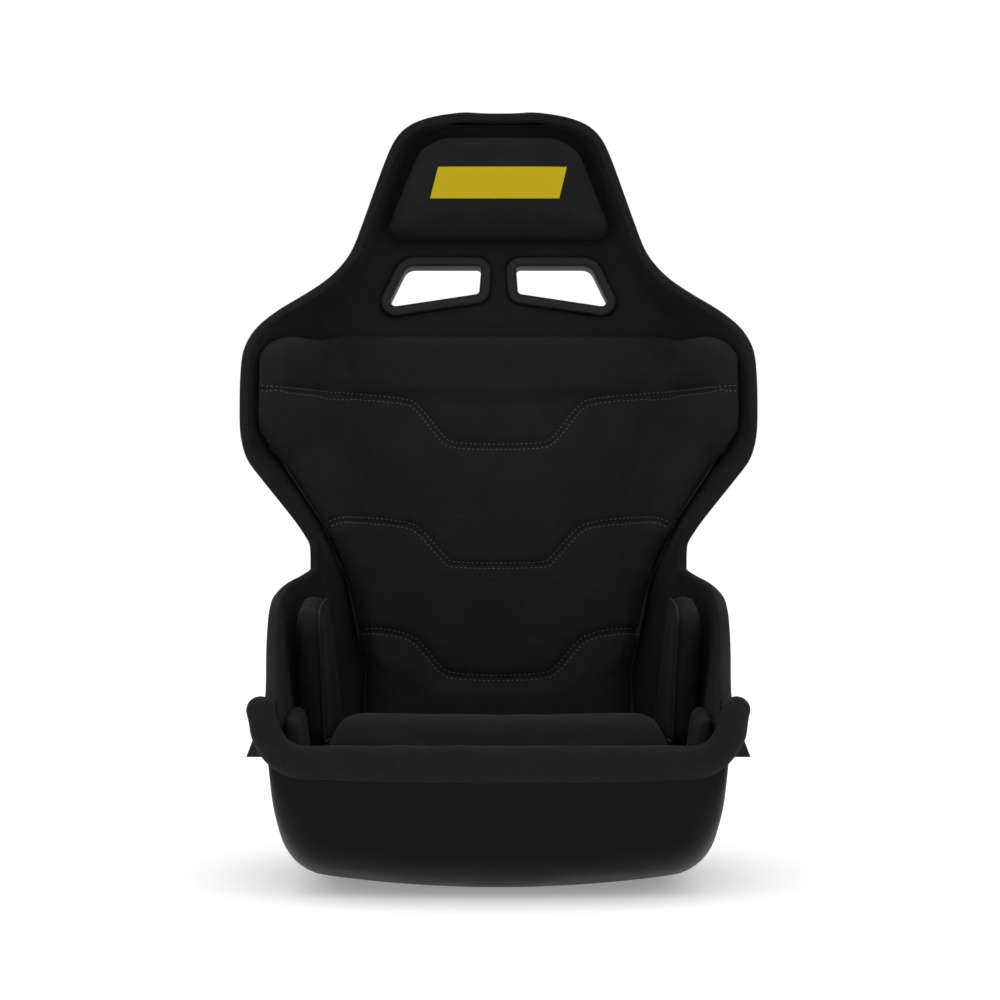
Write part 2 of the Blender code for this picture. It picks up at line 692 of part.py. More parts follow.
class Cushion:
    """A cushion's outline in its own lengths: along (rows) and across (columns).
    at(along, across, height) gives the point, half(along) the half width."""

    def __init__(self, at, length, half, corners, thickness, rows, columns, edge):
        self.at, self.length, self.half = at, length, half
        self.low, self.high = corners
        self.thickness = thickness
        self.rows, self.columns = rows, columns
        self.edge = edge

    def layer(self, inset, height):
        """A grid inside the outline, at one height or at a height function's."""
        steps = rounded_steps(self.length, self.low, self.high, self.rows)
        shrink = (self.length - 2 * inset) / self.length
        grid = []
        for step in steps:
            pull = corner_pull(step, self.length, self.low, self.high)
            along = inset + step * shrink
            half = self.half(along) - pull - inset * self.side_slope(along)
            over = height(along) if callable(height) else height
            row = [
                self.at(along, half * k / self.columns, over)
                for k in range(-self.columns, self.columns + 1)
            ]
            grid.append(row)
        return grid

    def side_slope(self, along):
        """An inset across the cushion grows by this where its side slants."""
        step = 0.002
        rise = self.half(along + step) - self.half(along - step)
        return math.hypot(1.0, rise / (2 * step))

    def heights(self, base, cut_back):
        """Base, shoulder and top heights, less what a layer inside gives up."""
        thick = self.thickness
        if not callable(thick):
            return base, base + (thick - base) * 0.62 - cut_back, thick - cut_back
        return (
            base,
            lambda along: base + (thick(along) - base) * 0.8 - cut_back,
            lambda along: thick(along) - cut_back,
        )


def make_cushion(name, shape, base, board=True, foam=True):
    """A cover open at its base, the foam inside it and the board that closes it."""
    low, shoulder, top = shape.heights(base, 0.0)
    layers = [shape.layer(0.0, low), shape.layer(0.0, shoulder), shape.layer(shape.edge, top)]
    if not foam:
        return [layered(name, layers, KNIT)]
    made = [layered(f"{name}_cover", layers, KNIT, closed=False)]
    solidify(made[0], COVER_WALL, -1)
    inset = COVER_WALL + FOAM_SIDE_GAP
    foam_base = base
    if board:
        slab = [shape.layer(inset, base), shape.layer(inset, base + BOARD_WALL)]
        made.append(layered(f"{name}_board", slab, BOARD))
        foam_base = base + BOARD_WALL + FOAM_GAP
    _, shoulder, top = shape.heights(base, COVER_WALL + FOAM_GAP)
    layers = [
        shape.layer(inset, foam_base),
        shape.layer(inset, shoulder),
        shape.layer(inset + shape.edge, top),
    ]
    made.append(layered(f"{name}_foam", layers, FOAM))
    return made


def along_the_back(first, last):
    """A map from distance up the shell's middle line to station, between two stations."""
    places = np.linspace(first, last, 200)
    middles = [Section(p).middle for p in places]
    lengths = np.cumsum([0.0] + [(b - a).length for a, b in zip(middles, middles[1:])])
    return (lambda along: float(np.interp(along, lengths, places))), float(lengths[-1])


def make_back_cushion():
    to_station, length = along_the_back(BACK_BOTTOM, BACK_TOP)

    def half(along):
        station = to_station(along)
        wide = Section(station).length
        shoulder = min(max((station - 16.5) / 1.5, 0.0), 1.0)
        border_here = BACK_BORDER_WAIST + (BACK_BORDER_SHOULDER - BACK_BORDER_WAIST) * shoulder
        rise = min(max((station - 11.5) / 2.5, 0.0), 1.0)
        rise = rise * rise * (3 - 2 * rise)
        return BACK_HALF_LOW + (wide - border_here - BACK_HALF_LOW) * rise

    shape = Cushion(
        lambda along, across, height: surface_point(to_station(along), across, height),
        length, half, (0.012, BACK_CORNER), BACK_THICKNESS, 7, 5, 0.010,
    )
    make_cushion("back_cushion", shape, GLUED_BASE)


def head_shape():
    first, last = station_at_height(HEAD_BOTTOM_Z), station_at_height(HEAD_TOP_Z)
    to_station, length = along_the_back(first, last)

    def half(along):
        share = along / length
        return HEAD_HALF_BOTTOM + (HEAD_HALF_TOP - HEAD_HALF_BOTTOM) * share

    def at(along, across, height):
        """The head cushion stays flat where the shell's corner turns forward."""
        station = to_station(along)
        flat = min(abs(across), Section(station).flat * 0.9)
        point = surface_point(station, flat, height)
        point.x = across
        return point

    corners = (HEAD_CORNER_BOTTOM, HEAD_CORNER_TOP)
    return Cushion(at, length, half, corners, HEAD_THICKNESS, 3, 3, 0.012)


def make_head_cushion():
    shape = head_shape()
    make_cushion("head_cushion", shape, HEAD_BASE)
    make_badge(shape)


HEAD_BASE = TAPED_BASE + 0.0062  # clears the shell's turned corners beside the head


def make_badge(shape):
    """A plain slanted plate on the head cushion's face."""
    heights = [shape.at(along, 0, HEAD_THICKNESS).z for along in (0.0, shape.length)]
    rows = [
        float(np.interp(z, heights, (0.0, shape.length))) for z in np.linspace(*BADGE_Z, 3)
    ]
    layers = []
    for height in (HEAD_THICKNESS + GAP, HEAD_THICKNESS + GAP + BADGE_WALL):
        grid = []
        for k, along in enumerate(rows):
            shift = BADGE_SLANT * (k - 1)
            places = np.linspace(-BADGE_HALF + shift, BADGE_HALF + shift, 7)
            grid.append([shape.at(along, float(x), height) for x in places])
        layers.append(grid)
    layered("head_badge", layers, YELLOW)


def side_cushion(name, stations, top_at, bottom_at, thickness, corners, edge, base, foam):
    """A pair of cushions on the side walls, between two stations."""
    first, last = stations

    def limits(station):
        return bottom_at(station), top_at(station)

    middle_wall = [
        surface_point(s, sum(limits(s)) / 2) for s in np.linspace(first, last, 30)
    ]
    lengths = np.cumsum([0.0] + [(b - a).length for a, b in zip(middle_wall, middle_wall[1:])])
    length = float(lengths[-1])

    def to_station(along):
        return float(np.interp(along, lengths, np.linspace(first, last, 30)))

    def half(along):
        low, high = limits(to_station(along))
        return (high - low) / 2

    for side, sign in (("left", -1), ("right", 1)):

        def at(along, across, height, sign=sign):
            station = to_station(along)
            low, high = limits(station)
            point = surface_point(station, (low + high) / 2 + across, height)
            return Vector((sign * point.x, point.y, point.z))

        shape = Cushion(at, length, half, corners, thickness, 3, 3, edge)
        make_cushion(f"{name}_{side}", shape, base, board=False, foam=foam)


def make_side_cushions():
    side_cushion(
        "hip_cushion", HIP_STATIONS,
        lambda s: Section(s).length - HIP_TOP_BORDER,
        lambda s: distance_at_height(s, HIP_BOTTOM_Z),
        HIP_THICKNESS, (0.020, 0.020), 0.006, HIP_BASE, True,
    )
    side_cushion(
        "thigh_cushion", THIGH_STATIONS,
        lambda s: distance_at_height(s, THIGH_TOP_Z),
        lambda s: distance_at_height(s, THIGH_BOTTOM_Z),
        THIGH_THICKNESS, (0.010, 0.010), 0.004, GLUED_BASE, False,
    )


def seat_shape():
    base_y, base_z = zip(*SEAT_BASE)
    top_y, top_z = zip(*SEAT_TOP)
    length = SEAT_REAR_Y - SEAT_FRONT_Y
    bow = FRONT_BOW[0]

    def at(along, across, height):
        """Height counts straight up from the cushion's base line."""
        y = SEAT_FRONT_Y + along
        ahead = max(0.0, 1 - along / 0.07) ** 2 * 0.5
        bowed = bow * ahead * (1 - (across / SEAT_HALF) ** 2)
        return Vector((across, y - bowed, float(np.interp(y, base_y, base_z)) + height))

    def thickness(along):
        y = SEAT_FRONT_Y + along
        return float(np.interp(y, top_y, top_z) - np.interp(y, base_y, base_z))

    corners = (SEAT_CORNER, SEAT_CORNER)
    return Cushion(at, length, lambda along: SEAT_HALF, corners, thickness, 5, 4, 0.010)


def make_seat_cushion():
    made = make_cushion("seat_cushion", seat_shape(), 0.0)
    place = Place(Vector((0, CROTCH_Y, 0)), Vector((1, 0, 0)), Vector((0, 0, 1)))
    for thing, extra in zip(made, (0.0, COVER_WALL * 2, COVER_WALL * 2)):
        corners, radii = box_corners(*CROTCH_SIZE), (0.008,) * 4
        grow = CROTCH_CUSHION_GROW + extra
        cutter = slot_cutter(f"{thing.name}_slot", place, corners, radii, grow, -0.02, 0.25)
        cut(thing, cutter)


# ---- tape -----------------------------------------------------------------------------
def tape(name, first, last, half, height):
    """A flat strip of hook-and-loop tape on the lining, across the seat."""
    layers = []
    for over in (height, height + TAPE_WALL):
        grid = []
        for station in np.linspace(first, last, 3):
            grid.append([surface_point(station, a, over) for a in np.linspace(-half, half, 5)])
        layers.append(grid)
    layered(name, layers, TAPE)


def make_tapes():
    over = LINER_TOP + GAP
    tape("seat_tape_front", 5.30, 5.52, 0.120, over)
    tape("seat_tape_rear", 6.30, 6.65, 0.120, over)
    head = station_at_height((HEAD_BOTTOM_Z + HEAD_TOP_Z) / 2)
    tape("head_tape", head - 0.55, head + 0.55, 0.070, over)


# ---- slots and bezels -----------------------------------------------------------------
def harness_place():
    station = station_at_height(HARNESS_Z)
    normal = surface_normal(station, 0.0)
    return Place(surface_point(station, 0.0), Vector((1, 0, 0)), normal)


def harness_corners(sign):
    """The slot's corners in its place, counter-clockwise, for the right or left slot."""
    lean = math.cos(math.asin(min(0.99, surface_normal(station_at_height(HARNESS_Z), 0).z)))
    corners = [(sign * x, (z - HARNESS_Z) / lean) for x, z in HARNESS_CORNERS]
    radii = list(HARNESS_RADII)
    if sign < 0:
        return corners[::-1], radii[::-1]
    return corners, radii


def make_bezel_pair(name, place, corners, radii, side, full_width, lift):
    """A front bezel with its sleeve through the wall, and the ring behind it."""
    face = LINER_TOP + lift
    back = -SHELL_WALL - lift
    sleeve_end = back - BEZEL_HEIGHT * 0.6
    profile = [(0.0, sleeve_end)]
    profile += bead(0.0, full_width, BEZEL_HEIGHT, face)
    profile += [(SLEEVE_WALL, face), (SLEEVE_WALL, sleeve_end)]
    ring_solid(f"{name}_bezel_{side}", place, corners, radii, profile, PLASTIC)
    inner = SLEEVE_WALL + SLEEVE_CLEARANCE
    width = full_width - inner
    profile = [(inner, back)] + [
        (grow, back - (height - back)) for grow, height in bead(inner, width, BEZEL_HEIGHT, back)
    ]
    ring_solid(f"{name}_rear_ring_{side}", place, corners, radii, profile, PLASTIC)


def make_slots(shell, liner):
    grow = SLEEVE_WALL + SLEEVE_CLEARANCE
    for side, sign in (("left", -1), ("right", 1)):
        place = harness_place()
        corners, radii = harness_corners(sign)
        cutter = slot_cutter(f"harness_cut_{side}", place, corners, radii, grow, -0.03, 0.03)
        cut(shell, cutter)
        cut(liner, cutter)
        make_bezel_pair("harness", place, corners, radii, side, BEZEL_WIDTH, BEZEL_LIFT)
    for side, sign in (("left", -1), ("right", 1)):
        reach = distance_at_height(BELT_STATION, BELT_Z)
        point = surface_point(BELT_STATION, reach)
        normal = surface_normal(BELT_STATION, reach)
        flip = Matrix.Diagonal((sign, 1, 1))
        place = Place(flip @ point, Vector((0, 1, 0.15)), flip @ normal)
        corners, radii = box_corners(*BELT_SIZE), (0.010,) * 4
        cutter = slot_cutter(f"belt_cut_{side}", place, corners, radii, grow, -0.03, 0.03)
        cut(shell, cutter)
        cut(liner, cutter)
        make_bezel_pair("belt", place, corners, radii, side, BELT_BEZEL_WIDTH, BELT_FACE_LIFT)
    station = float(np.interp(CROTCH_Y, [station_at(s)[0] for s in (4, 5, 6)], (4, 5, 6)))
    place = Place(surface_point(station, 0), Vector((1, 0, 0)), Vector((0, 0, 1)))
    corners, radii = box_corners(*CROTCH_SIZE), (0.008,) * 4
    cutter = slot_cutter("crotch_cut", place, corners, radii, grow, -0.03, 0.03)
    cut(shell, cutter)
    cut(liner, cutter)
    face = LINER_TOP + 0.0012
    sleeve_end = -SHELL_WALL + 0.0005
    profile = [
        (0.0, sleeve_end), (0.0, face + 0.002), (0.003, face + 0.0028), (0.007, face + 0.0020),
        (0.007, face), (SLEEVE_WALL, face), (SLEEVE_WALL, sleeve_end),
    ]
    ring_solid("crotch_bezel", place, corners, radii, profile, PLASTIC)


# ---- side fixings ---------------------------------------------------------------------
def wall_grid(stations, heights, over, sign):
    """Points on a side wall at given heights, this far over the inner face."""
    grid = []
    for station in stations:
        row = []
        for z in heights:
            point = surface_point(station, distance_at_height(station, z), over)
            row.append(Vector((sign * point.x, point.y, point.z)))
        grid.append(row)
    return grid


def make_insert(name, y, sign):
    """A flanged M8 bush, turned about X, with its flange flush in the boss's face."""
    outer = [
        (INSERT_BORE_RADIUS, 0.0), (INSERT_FLANGE_RADIUS, 0.0),
        (INSERT_FLANGE_RADIUS, -INSERT_FLANGE), (INSERT_BODY_RADIUS, -INSERT_FLANGE),
        (INSERT_BODY_RADIUS, -INSERT_LENGTH), (INSERT_BORE_RADIUS, -INSERT_LENGTH),
    ]
    bm = bmesh.new()
    spine = [bm.verts.new((r, 0, h)) for r, h in outer]
    edges = [bm.edges.new(pair) for pair in zip(spine, spine[1:] + spine[:1])]
    bmesh.ops.spin(
        bm, geom=spine + edges, cent=(0, 0, 0), axis=(0, 0, 1), angle=2 * math.pi,
        steps=12, use_merge=True,
    )
    turn = Vector((0, 0, 1)).rotation_difference(Vector((sign, 0, 0))).to_matrix().to_4x4()
    spot = Matrix.Translation((sign * (BOSS_FACE_X - 0.0002), y, INSERT_Z))
    bmesh.ops.transform(bm, matrix=spot @ turn, verts=bm.verts)
    bmesh.ops.recalc_face_normals(bm, faces=bm.faces)
    object_from_bmesh(name, bm, STEEL)


def round_cutter(name, y, sign, radius, depth, outside):
    bm = bmesh.new()
    bmesh.ops.create_cone(
        bm, cap_ends=True, segments=12, radius1=radius, radius2=radius, depth=depth + outside
    )
    turn = Vector((0, 0, 1)).rotation_difference(Vector((sign, 0, 0))).to_matrix().to_4x4()
    middle = BOSS_FACE_X + (outside - depth) / 2
    spot = Matrix.Translation((sign * middle, y, INSERT_Z))
    bmesh.ops.transform(bm, matrix=spot @ turn, verts=bm.verts)
    return hide(object_from_bmesh(name, bm, None, CUTTERS))


def make_side_fixings(shell):
    for side, sign in (("left", -1), ("right", 1)):
        stations = np.linspace(*BOSS_STATIONS, 7)
        heights = np.linspace(*BOSS_Z, 4)
        inner = wall_grid(stations, heights, -SHELL_WALL - BOND, sign)
        outer = [[Vector((sign * BOSS_FACE_X, p.y, p.z)) for p in row] for row in inner]
        boss = layered(f"mount_boss_{side}", [inner, outer], PLASTIC)
        for place, y in zip(("front", "rear"), INSERT_Y):
            name = f"{side}_{place}"
            body = round_cutter(
                f"body_cut_{name}", y, sign, INSERT_BODY_RADIUS + GAP, 0.022, 0.01
            )
            seat = round_cutter(
                f"flange_cut_{name}", y, sign, INSERT_FLANGE_RADIUS + GAP,
                INSERT_FLANGE + GAP * 2, 0.01,
            )
            cut(boss, body)
            cut(boss, seat)
            cut(shell, body)
            make_insert(f"mount_insert_{name}", y, sign)
        make_side_flange(side, sign)


def make_side_flange(side, sign):
    """A wedge under the hip that flares out and ends in a level underside."""
    low_z, high_z = FLANGE_Z
    heights = np.linspace(low_z, high_z, 4)
    stations = np.linspace(*FLANGE_STATIONS, 7)
    inner = wall_grid(stations, heights, -SHELL_WALL - BOND, sign)
    outer = []
    for k, row in enumerate(inner):
        share = k / (len(inner) - 1)
        taper = 1.0 if share < 0.5 else 1.0 - 0.8 * (share - 0.5) * 2
        outer.append([])
        for z, point in zip(heights, row):
            drop = (high_z - z) / (high_z - low_z)
            out = 0.0015 + FLANGE_REACH * drop * taper
            outer[-1].append(Vector((point.x + sign * out, point.y, point.z)))
    layered(f"side_flange_{side}", [inner, outer], PLASTIC)


# ---- build ----------------------------------------------------------------------------
def main():
    shell = make_shell()
    liner = make_liner()
    make_lip()
    make_trim()
    make_back_cushion()
    make_head_cushion()
    make_side_cushions()
    make_seat_cushion()
    make_tapes()
    make_slots(shell, liner)
    make_side_fixings(shell)


main()
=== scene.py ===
import functools
import json
import math

import bmesh
import bpy
import numpy as np
from mathutils import Matrix, Vector, noise
from mathutils.bvhtree import BVHTree


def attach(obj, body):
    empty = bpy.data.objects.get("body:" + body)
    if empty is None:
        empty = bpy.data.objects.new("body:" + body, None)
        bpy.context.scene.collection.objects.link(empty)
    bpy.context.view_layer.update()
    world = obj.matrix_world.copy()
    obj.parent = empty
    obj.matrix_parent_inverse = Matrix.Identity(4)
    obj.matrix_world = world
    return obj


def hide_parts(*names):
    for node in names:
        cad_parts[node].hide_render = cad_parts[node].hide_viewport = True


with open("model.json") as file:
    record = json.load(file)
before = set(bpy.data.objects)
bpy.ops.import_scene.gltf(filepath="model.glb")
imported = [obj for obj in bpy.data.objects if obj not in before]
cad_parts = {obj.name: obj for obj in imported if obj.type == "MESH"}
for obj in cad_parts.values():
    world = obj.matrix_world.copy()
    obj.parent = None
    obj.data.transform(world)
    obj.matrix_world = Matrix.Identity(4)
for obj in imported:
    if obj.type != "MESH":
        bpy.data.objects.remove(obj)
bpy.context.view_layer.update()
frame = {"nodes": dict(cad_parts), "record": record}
nodes = frame["nodes"]
print("frame loaded")

# metres, the seat faces -Y; the CAD is drawn this far back and then centred
shiftBack = 0.0157
wall = 0.005
liningTop = 0.0034

# colours and nodes


def hexColour(text):
    parts = [int(text[k : k + 2], 16) / 255 for k in (0, 2, 4)]
    linear = [c / 12.92 if c <= 0.04045 else ((c + 0.055) / 1.055) ** 2.4 for c in parts]
    return (*linear, 1.0)


def addNode(tree, kind, inputs=None, **settings):
    made = tree.nodes.new(kind)
    for key, value in settings.items():
        setattr(made, key, value)
    for key, value in (inputs or {}).items():
        if isinstance(value, bpy.types.NodeSocket):
            tree.links.new(value, made.inputs[key])
        else:
            made.inputs[key].default_value = value
    return made


def newMaterial(name):
    made = bpy.data.materials.new(name)
    made.use_nodes = True
    tree = made.node_tree
    shader = tree.nodes["Principled BSDF"]
    place = addNode(tree, "ShaderNodeTexCoord").outputs["Object"]
    return made, tree, shader, place


def rampBetween(tree, factor, low, high, start=0.3, end=0.7):
    made = addNode(tree, "ShaderNodeMapRange", {
        "Value": factor, "From Min": start, "From Max": end, "To Min": low, "To Max": high,
    })
    return made.outputs["Result"]


# the colour sockets of a Mix node, which shares their names with its other kinds of socket
mixSocket = {"first": 6, "second": 7, "result": 2}


def mixColour(tree, factor, first, second):
    made = addNode(tree, "ShaderNodeMix", data_type="RGBA")
    tree.links.new(factor, made.inputs["Factor"])
    made.inputs[mixSocket["first"]].default_value = first
    made.inputs[mixSocket["second"]].default_value = second
    return made.outputs[mixSocket["result"]]


def knitMaterial(name, dark, light, cell, depth, sheen):
    # a dull knit: small loops break the light up, and a faint sheen greys the turned edges
    made, tree, shader, place = newMaterial(name)
    loops = addNode(tree, "ShaderNodeTexVoronoi", {
        "Vector": place, "Scale": 1 / cell, "Randomness": 0.55,
    })
    fine = addNode(tree, "ShaderNodeTexNoise", {
        "Vector": place, "Scale": 1 / (cell * 0.55), "Detail": 2.0,
    })
    broad = addNode(tree, "ShaderNodeTexNoise", {"Vector": place, "Scale": 28.0, "Detail": 3.0})
    height = addNode(tree, "ShaderNodeMath", {
        0: loops.outputs["Distance"], 1: fine.outputs["Fac"],
    }, operation="ADD")
    colour = mixColour(tree, rampBetween(tree, loops.outputs["Distance"], 1.0, 0.0, 0.1, 0.75),
                       dark, light)
    shade = addNode(tree, "ShaderNodeMix", data_type="RGBA", blend_type="MULTIPLY")
    shade.inputs[0].default_value = 1.0
    tree.links.new(colour, shade.inputs[mixSocket["first"]])
    patches = rampBetween(tree, broad.outputs["Fac"], 0.82, 1.14)
    tree.links.new(patches, shade.inputs[mixSocket["second"]])
    tree.links.new(shade.outputs[2], shader.inputs["Base Color"])
    tree.links.new(rampBetween(tree, fine.outputs["Fac"], 0.82, 0.97),
                   shader.inputs["Roughness"])
    bump = addNode(tree, "ShaderNodeBump", {
        "Height": height.outputs[0], "Distance": depth, "Strength": 0.75,
    })
    tree.links.new(bump.outputs["Normal"], shader.inputs["Normal"])
    shader.inputs["Specular IOR Level"].default_value = 0.17
    shader.inputs["Sheen Weight"].default_value = sheen
    shader.inputs["Sheen Roughness"].default_value = 0.45
    return made


def plasticMaterial(name, colour, roughness, grain, depth, coat=0.0):
    # moulded black plastic or gelcoat: even colour, with a little waviness in what it mirrors
    made, tree, shader, place = newMaterial(name)
    fine = addNode(tree, "ShaderNodeTexNoise", {"Vector": place, "Scale": 1 / grain, "Detail": 3.0})
    wear = addNode(tree, "ShaderNodeTexNoise", {"Vector": place, "Scale": 14.0, "Detail": 5.0})
    lighter = tuple(min(1.0, c * 1.7 + 0.001) for c in colour[:3]) + (1.0,)
    tree.links.new(mixColour(tree, rampBetween(tree, wear.outputs["Fac"], 0.0, 1.0, 0.45, 0.8),
                             colour, lighter), shader.inputs["Base Color"])
    tree.links.new(rampBetween(tree, wear.outputs["Fac"], roughness - 0.05, roughness + 0.09),
                   shader.inputs["Roughness"])
    bump = addNode(tree, "ShaderNodeBump", {
        "Height": fine.outputs["Fac"], "Distance": depth, "Strength": 0.5,
    })
    tree.links.new(bump.outputs["Normal"], shader.inputs["Normal"])
    shader.inputs["IOR"].default_value = 1.49
    shader.inputs["Coat Weight"].default_value = coat
    shader.inputs["Coat Roughness"].default_value = 0.22
    return made


def badgeMaterial():
    # woven yellow label: fine ribs along X, a touch paler on their crowns
    made, tree, shader, place = newMaterial("wovenYellow")
    shader.inputs["Specular IOR Level"].default_value = 0.15
    ribs = addNode(tree, "ShaderNodeTexWave", {
        "Vector": place, "Scale": 380.0, "Distortion": 0.6,
    }, bands_direction="Z")
    fine = addNode(tree, "ShaderNodeTexNoise", {"Vector": place, "Scale": 900.0, "Detail": 2.0})
    tree.links.new(mixColour(tree, rampBetween(tree, ribs.outputs["Fac"], 0.0, 1.0, 0.2, 0.8),
                             hexColour("a38f00"), hexColour("baa508")),
                   shader.inputs["Base Color"])
    tree.links.new(rampBetween(tree, fine.outputs["Fac"], 0.5, 0.68), shader.inputs["Roughness"])
    bump = addNode(tree, "ShaderNodeBump", {
        "Height": ribs.outputs["Fac"], "Distance": 0.0002, "Strength": 0.5,
    })
    tree.links.new(bump.outputs["Normal"], shader.inputs["Normal"])
    return made


def steelMaterial():
    # zinc-plated steel with turning marks round each bush
    made, tree, shader, place = newMaterial("zincSteel")
    marks = addNode(tree, "ShaderNodeTexNoise", {"Vector": place, "Scale": 600.0, "Detail": 4.0})
    tree.links.new(mixColour(tree, rampBetween(tree, marks.outputs["Fac"], 0.0, 1.0),
                             hexColour("9a9da2"), hexColour("c3c6c9")),
                   shader.inputs["Base Color"])
    tree.links.new(rampBetween(tree, marks.outputs["Fac"], 0.28, 0.46),
                   shader.inputs["Roughness"])
    bump = addNode(tree, "ShaderNodeBump", {
        "Height": marks.outputs["Fac"], "Distance": 0.00005, "Strength": 0.4,
    })
    tree.links.new(bump.outputs["Normal"], shader.inputs["Normal"])
    shader.inputs["Metallic"].default_value = 1.0
    return made


def grainMaterial(name, dark, light, cell, depth, roughness):
    # foam, board and tape: mottled and dry
    made, tree, shader, place = newMaterial(name)
    pores = addNode(tree, "ShaderNodeTexVoronoi", {"Vector": place, "Scale": 1 / cell})
    tree.links.new(mixColour(tree, rampBetween(tree, pores.outputs["Distance"], 0.0, 1.0, 0.1, 0.7),
                             dark, light), shader.inputs["Base Color"])
    bump = addNode(tree, "ShaderNodeBump", {
        "Height": pores.outputs["Distance"], "Distance": depth, "Strength": 0.7,
    })
    tree.links.new(bump.outputs["Normal"], shader.inputs["Normal"])
    shader.inputs["Roughness"].default_value = roughness
    return made


coverKnit = knitMaterial("spacerKnit", hexColour("0f0f10"), hexColour("18181a"), 0.0016, 0.00016, 0.01)
liningKnit = knitMaterial("liningKnit", hexColour("0e0e0f"), hexColour("161617"), 0.0016, 0.00014, 0.01)
pipingKnit = knitMaterial("pipingKnit", hexColour("161617"), hexColour("222223"), 0.0011, 0.0001, 0.04)
threadGrey = knitMaterial("greyThread", hexColour("3c3c3e"), hexColour("5a5a5d"), 0.0009, 0.0001, 0.1)
gelcoat = plasticMaterial("blackGelcoat", hexColour("020202"), 0.38, 0.004, 0.00004)
gelcoat.node_tree.nodes["Principled BSDF"].inputs["IOR"].default_value = 1.20
bezelPlastic = plasticMaterial("bezelPlastic", hexColour("070708"), 0.50, 0.0010, 0.00004)
bezelPlastic.node_tree.nodes["Principled BSDF"].inputs["IOR"].default_value = 1.32
wovenYellow = badgeMaterial()
zincSteel = steelMaterial()
foamGrey = grainMaterial("openFoam", hexColour("26262a"), hexColour("46464b"), 0.0016, 0.0004, 0.95)
boardBlack = grainMaterial("pressedBoard", hexColour("080808"), hexColour("111110"), 0.0030, 0.0001, 0.8)
tapeBlack = grainMaterial("hookTape", hexColour("101011"), hexColour("28282a"), 0.0014, 0.0004, 0.95)

carried = {
    "black_gelcoat": gelcoat, "black_knit": coverKnit, "charcoal_foam": foamGrey,
    "black_plastic": bezelPlastic, "black_tape": tapeBlack, "backing_board": boardBlack,
    "zinc_steel": zincSteel, "yellow_badge": wovenYellow,
}
slotOfNode = {entry["node"]: entry["material_slot"] for entry in frame["record"]["subparts"]}
for name, node in nodes.items():
    for place in node.material_slots:
        place.material = carried[slotOfNode[name]]
print("materials made")

# the shell's surface, station by station
# middle y and z, rim y and z, half width at the rim and at the corner, corner radius
stations = (
    (-0.2620, 0.1340, -0.2620, 0.1840, 0.2244, 0.2140, 0.036),
    (-0.2620, 0.1000, -0.2550, 0.1825, 0.2244, 0.2130, 0.038),
    (-0.2500, 0.0550, -0.2430, 0.1828, 0.2242, 0.2110, 0.044),
    (-0.2220, 0.0220, -0.2180, 0.1930, 0.2212, 0.2075, 0.038),
    (-0.1500, 0.0050, -0.1700, 0.2090, 0.2240, 0.2070, 0.037),
    (-0.0600, 0.0050, -0.0750, 0.2400, 0.2310, 0.2030, 0.048),
    (0.0400, 0.0050, -0.0100, 0.2680, 0.2338, 0.2020, 0.050),
    (0.1000, 0.0050, 0.0300, 0.2790, 0.2342, 0.1980, 0.052),
    (0.1380, 0.0240, 0.0600, 0.2870, 0.2310, 0.1940, 0.054),
    (0.1580, 0.0620, 0.0850, 0.2950, 0.2232, 0.1890, 0.056),
    (0.1720, 0.1000, 0.1000, 0.3030, 0.2080, 0.1800, 0.056),
    (0.1820, 0.1500, 0.1080, 0.3120, 0.1975, 0.1700, 0.056),
    (0.1900, 0.2050, 0.1120, 0.3240, 0.1980, 0.1600, 0.058),
    (0.1980, 0.2600, 0.1130, 0.3400, 0.1990, 0.1530, 0.060),
    (0.2070, 0.3050, 0.1140, 0.3600, 0.2100, 0.1530, 0.062),
    (0.2170, 0.3500, 0.1160, 0.3880, 0.2320, 0.1600, 0.066),
    (0.2280, 0.3900, 0.1180, 0.4160, 0.2548, 0.1720, 0.070),
    (0.2380, 0.4250, 0.1200, 0.4400, 0.2718, 0.1860, 0.074),
    (0.2490, 0.4600, 0.1240, 0.4700, 0.2772, 0.1970, 0.078),
    (0.2620, 0.5000, 0.1310, 0.5080, 0.2775, 0.2050, 0.080),
    (0.2750, 0.5400, 0.1420, 0.5450, 0.2760, 0.2100, 0.080),
    (0.2840, 0.5680, 0.1600, 0.5700, 0.2668, 0.2060, 0.072),
    (0.2900, 0.5900, 0.1860, 0.5910, 0.2462, 0.1960, 0.060),
    (0.2960, 0.6120, 0.2140, 0.6110, 0.2175, 0.1800, 0.048),
    (0.3010, 0.6320, 0.2380, 0.6300, 0.1925, 0.1650, 0.036),
    (0.3060, 0.6500, 0.2550, 0.6480, 0.1755, 0.1525, 0.030),
    (0.3110, 0.6720, 0.2680, 0.6690, 0.1616, 0.1430, 0.027),
    (0.3190, 0.7050, 0.2800, 0.7020, 0.1495, 0.1325, 0.025),
    (0.3280, 0.7450, 0.2910, 0.7420, 0.1360, 0.1200, 0.023),
    (0.3350, 0.7780, 0.3000, 0.7760, 0.1243, 0.1090, 0.022),
    (0.3380, 0.7970, 0.3050, 0.7950, 0.1165, 0.1010, 0.020),
    (0.3380, 0.8080, 0.3070, 0.8070, 0.1083, 0.0930, 0.018),
    (0.3360, 0.8170, 0.3085, 0.8160, 0.0965, 0.0815, 0.016),
    (0.3310, 0.8250, 0.3090, 0.8240, 0.0720, 0.0580, 0.012),
    (0.3210, 0.8290, 0.3090, 0.8290, 0.0360, 0.0280, 0.007),
)
# how far each front section bows forward, and how far its sides rise
frontBow = (0.030, 0.030, 0.027, 0.018, 0.005)
frontRise = (0.0, 0.0, 0.006, 0.015, 0.020, 0.002)
last = len(stations) - 1


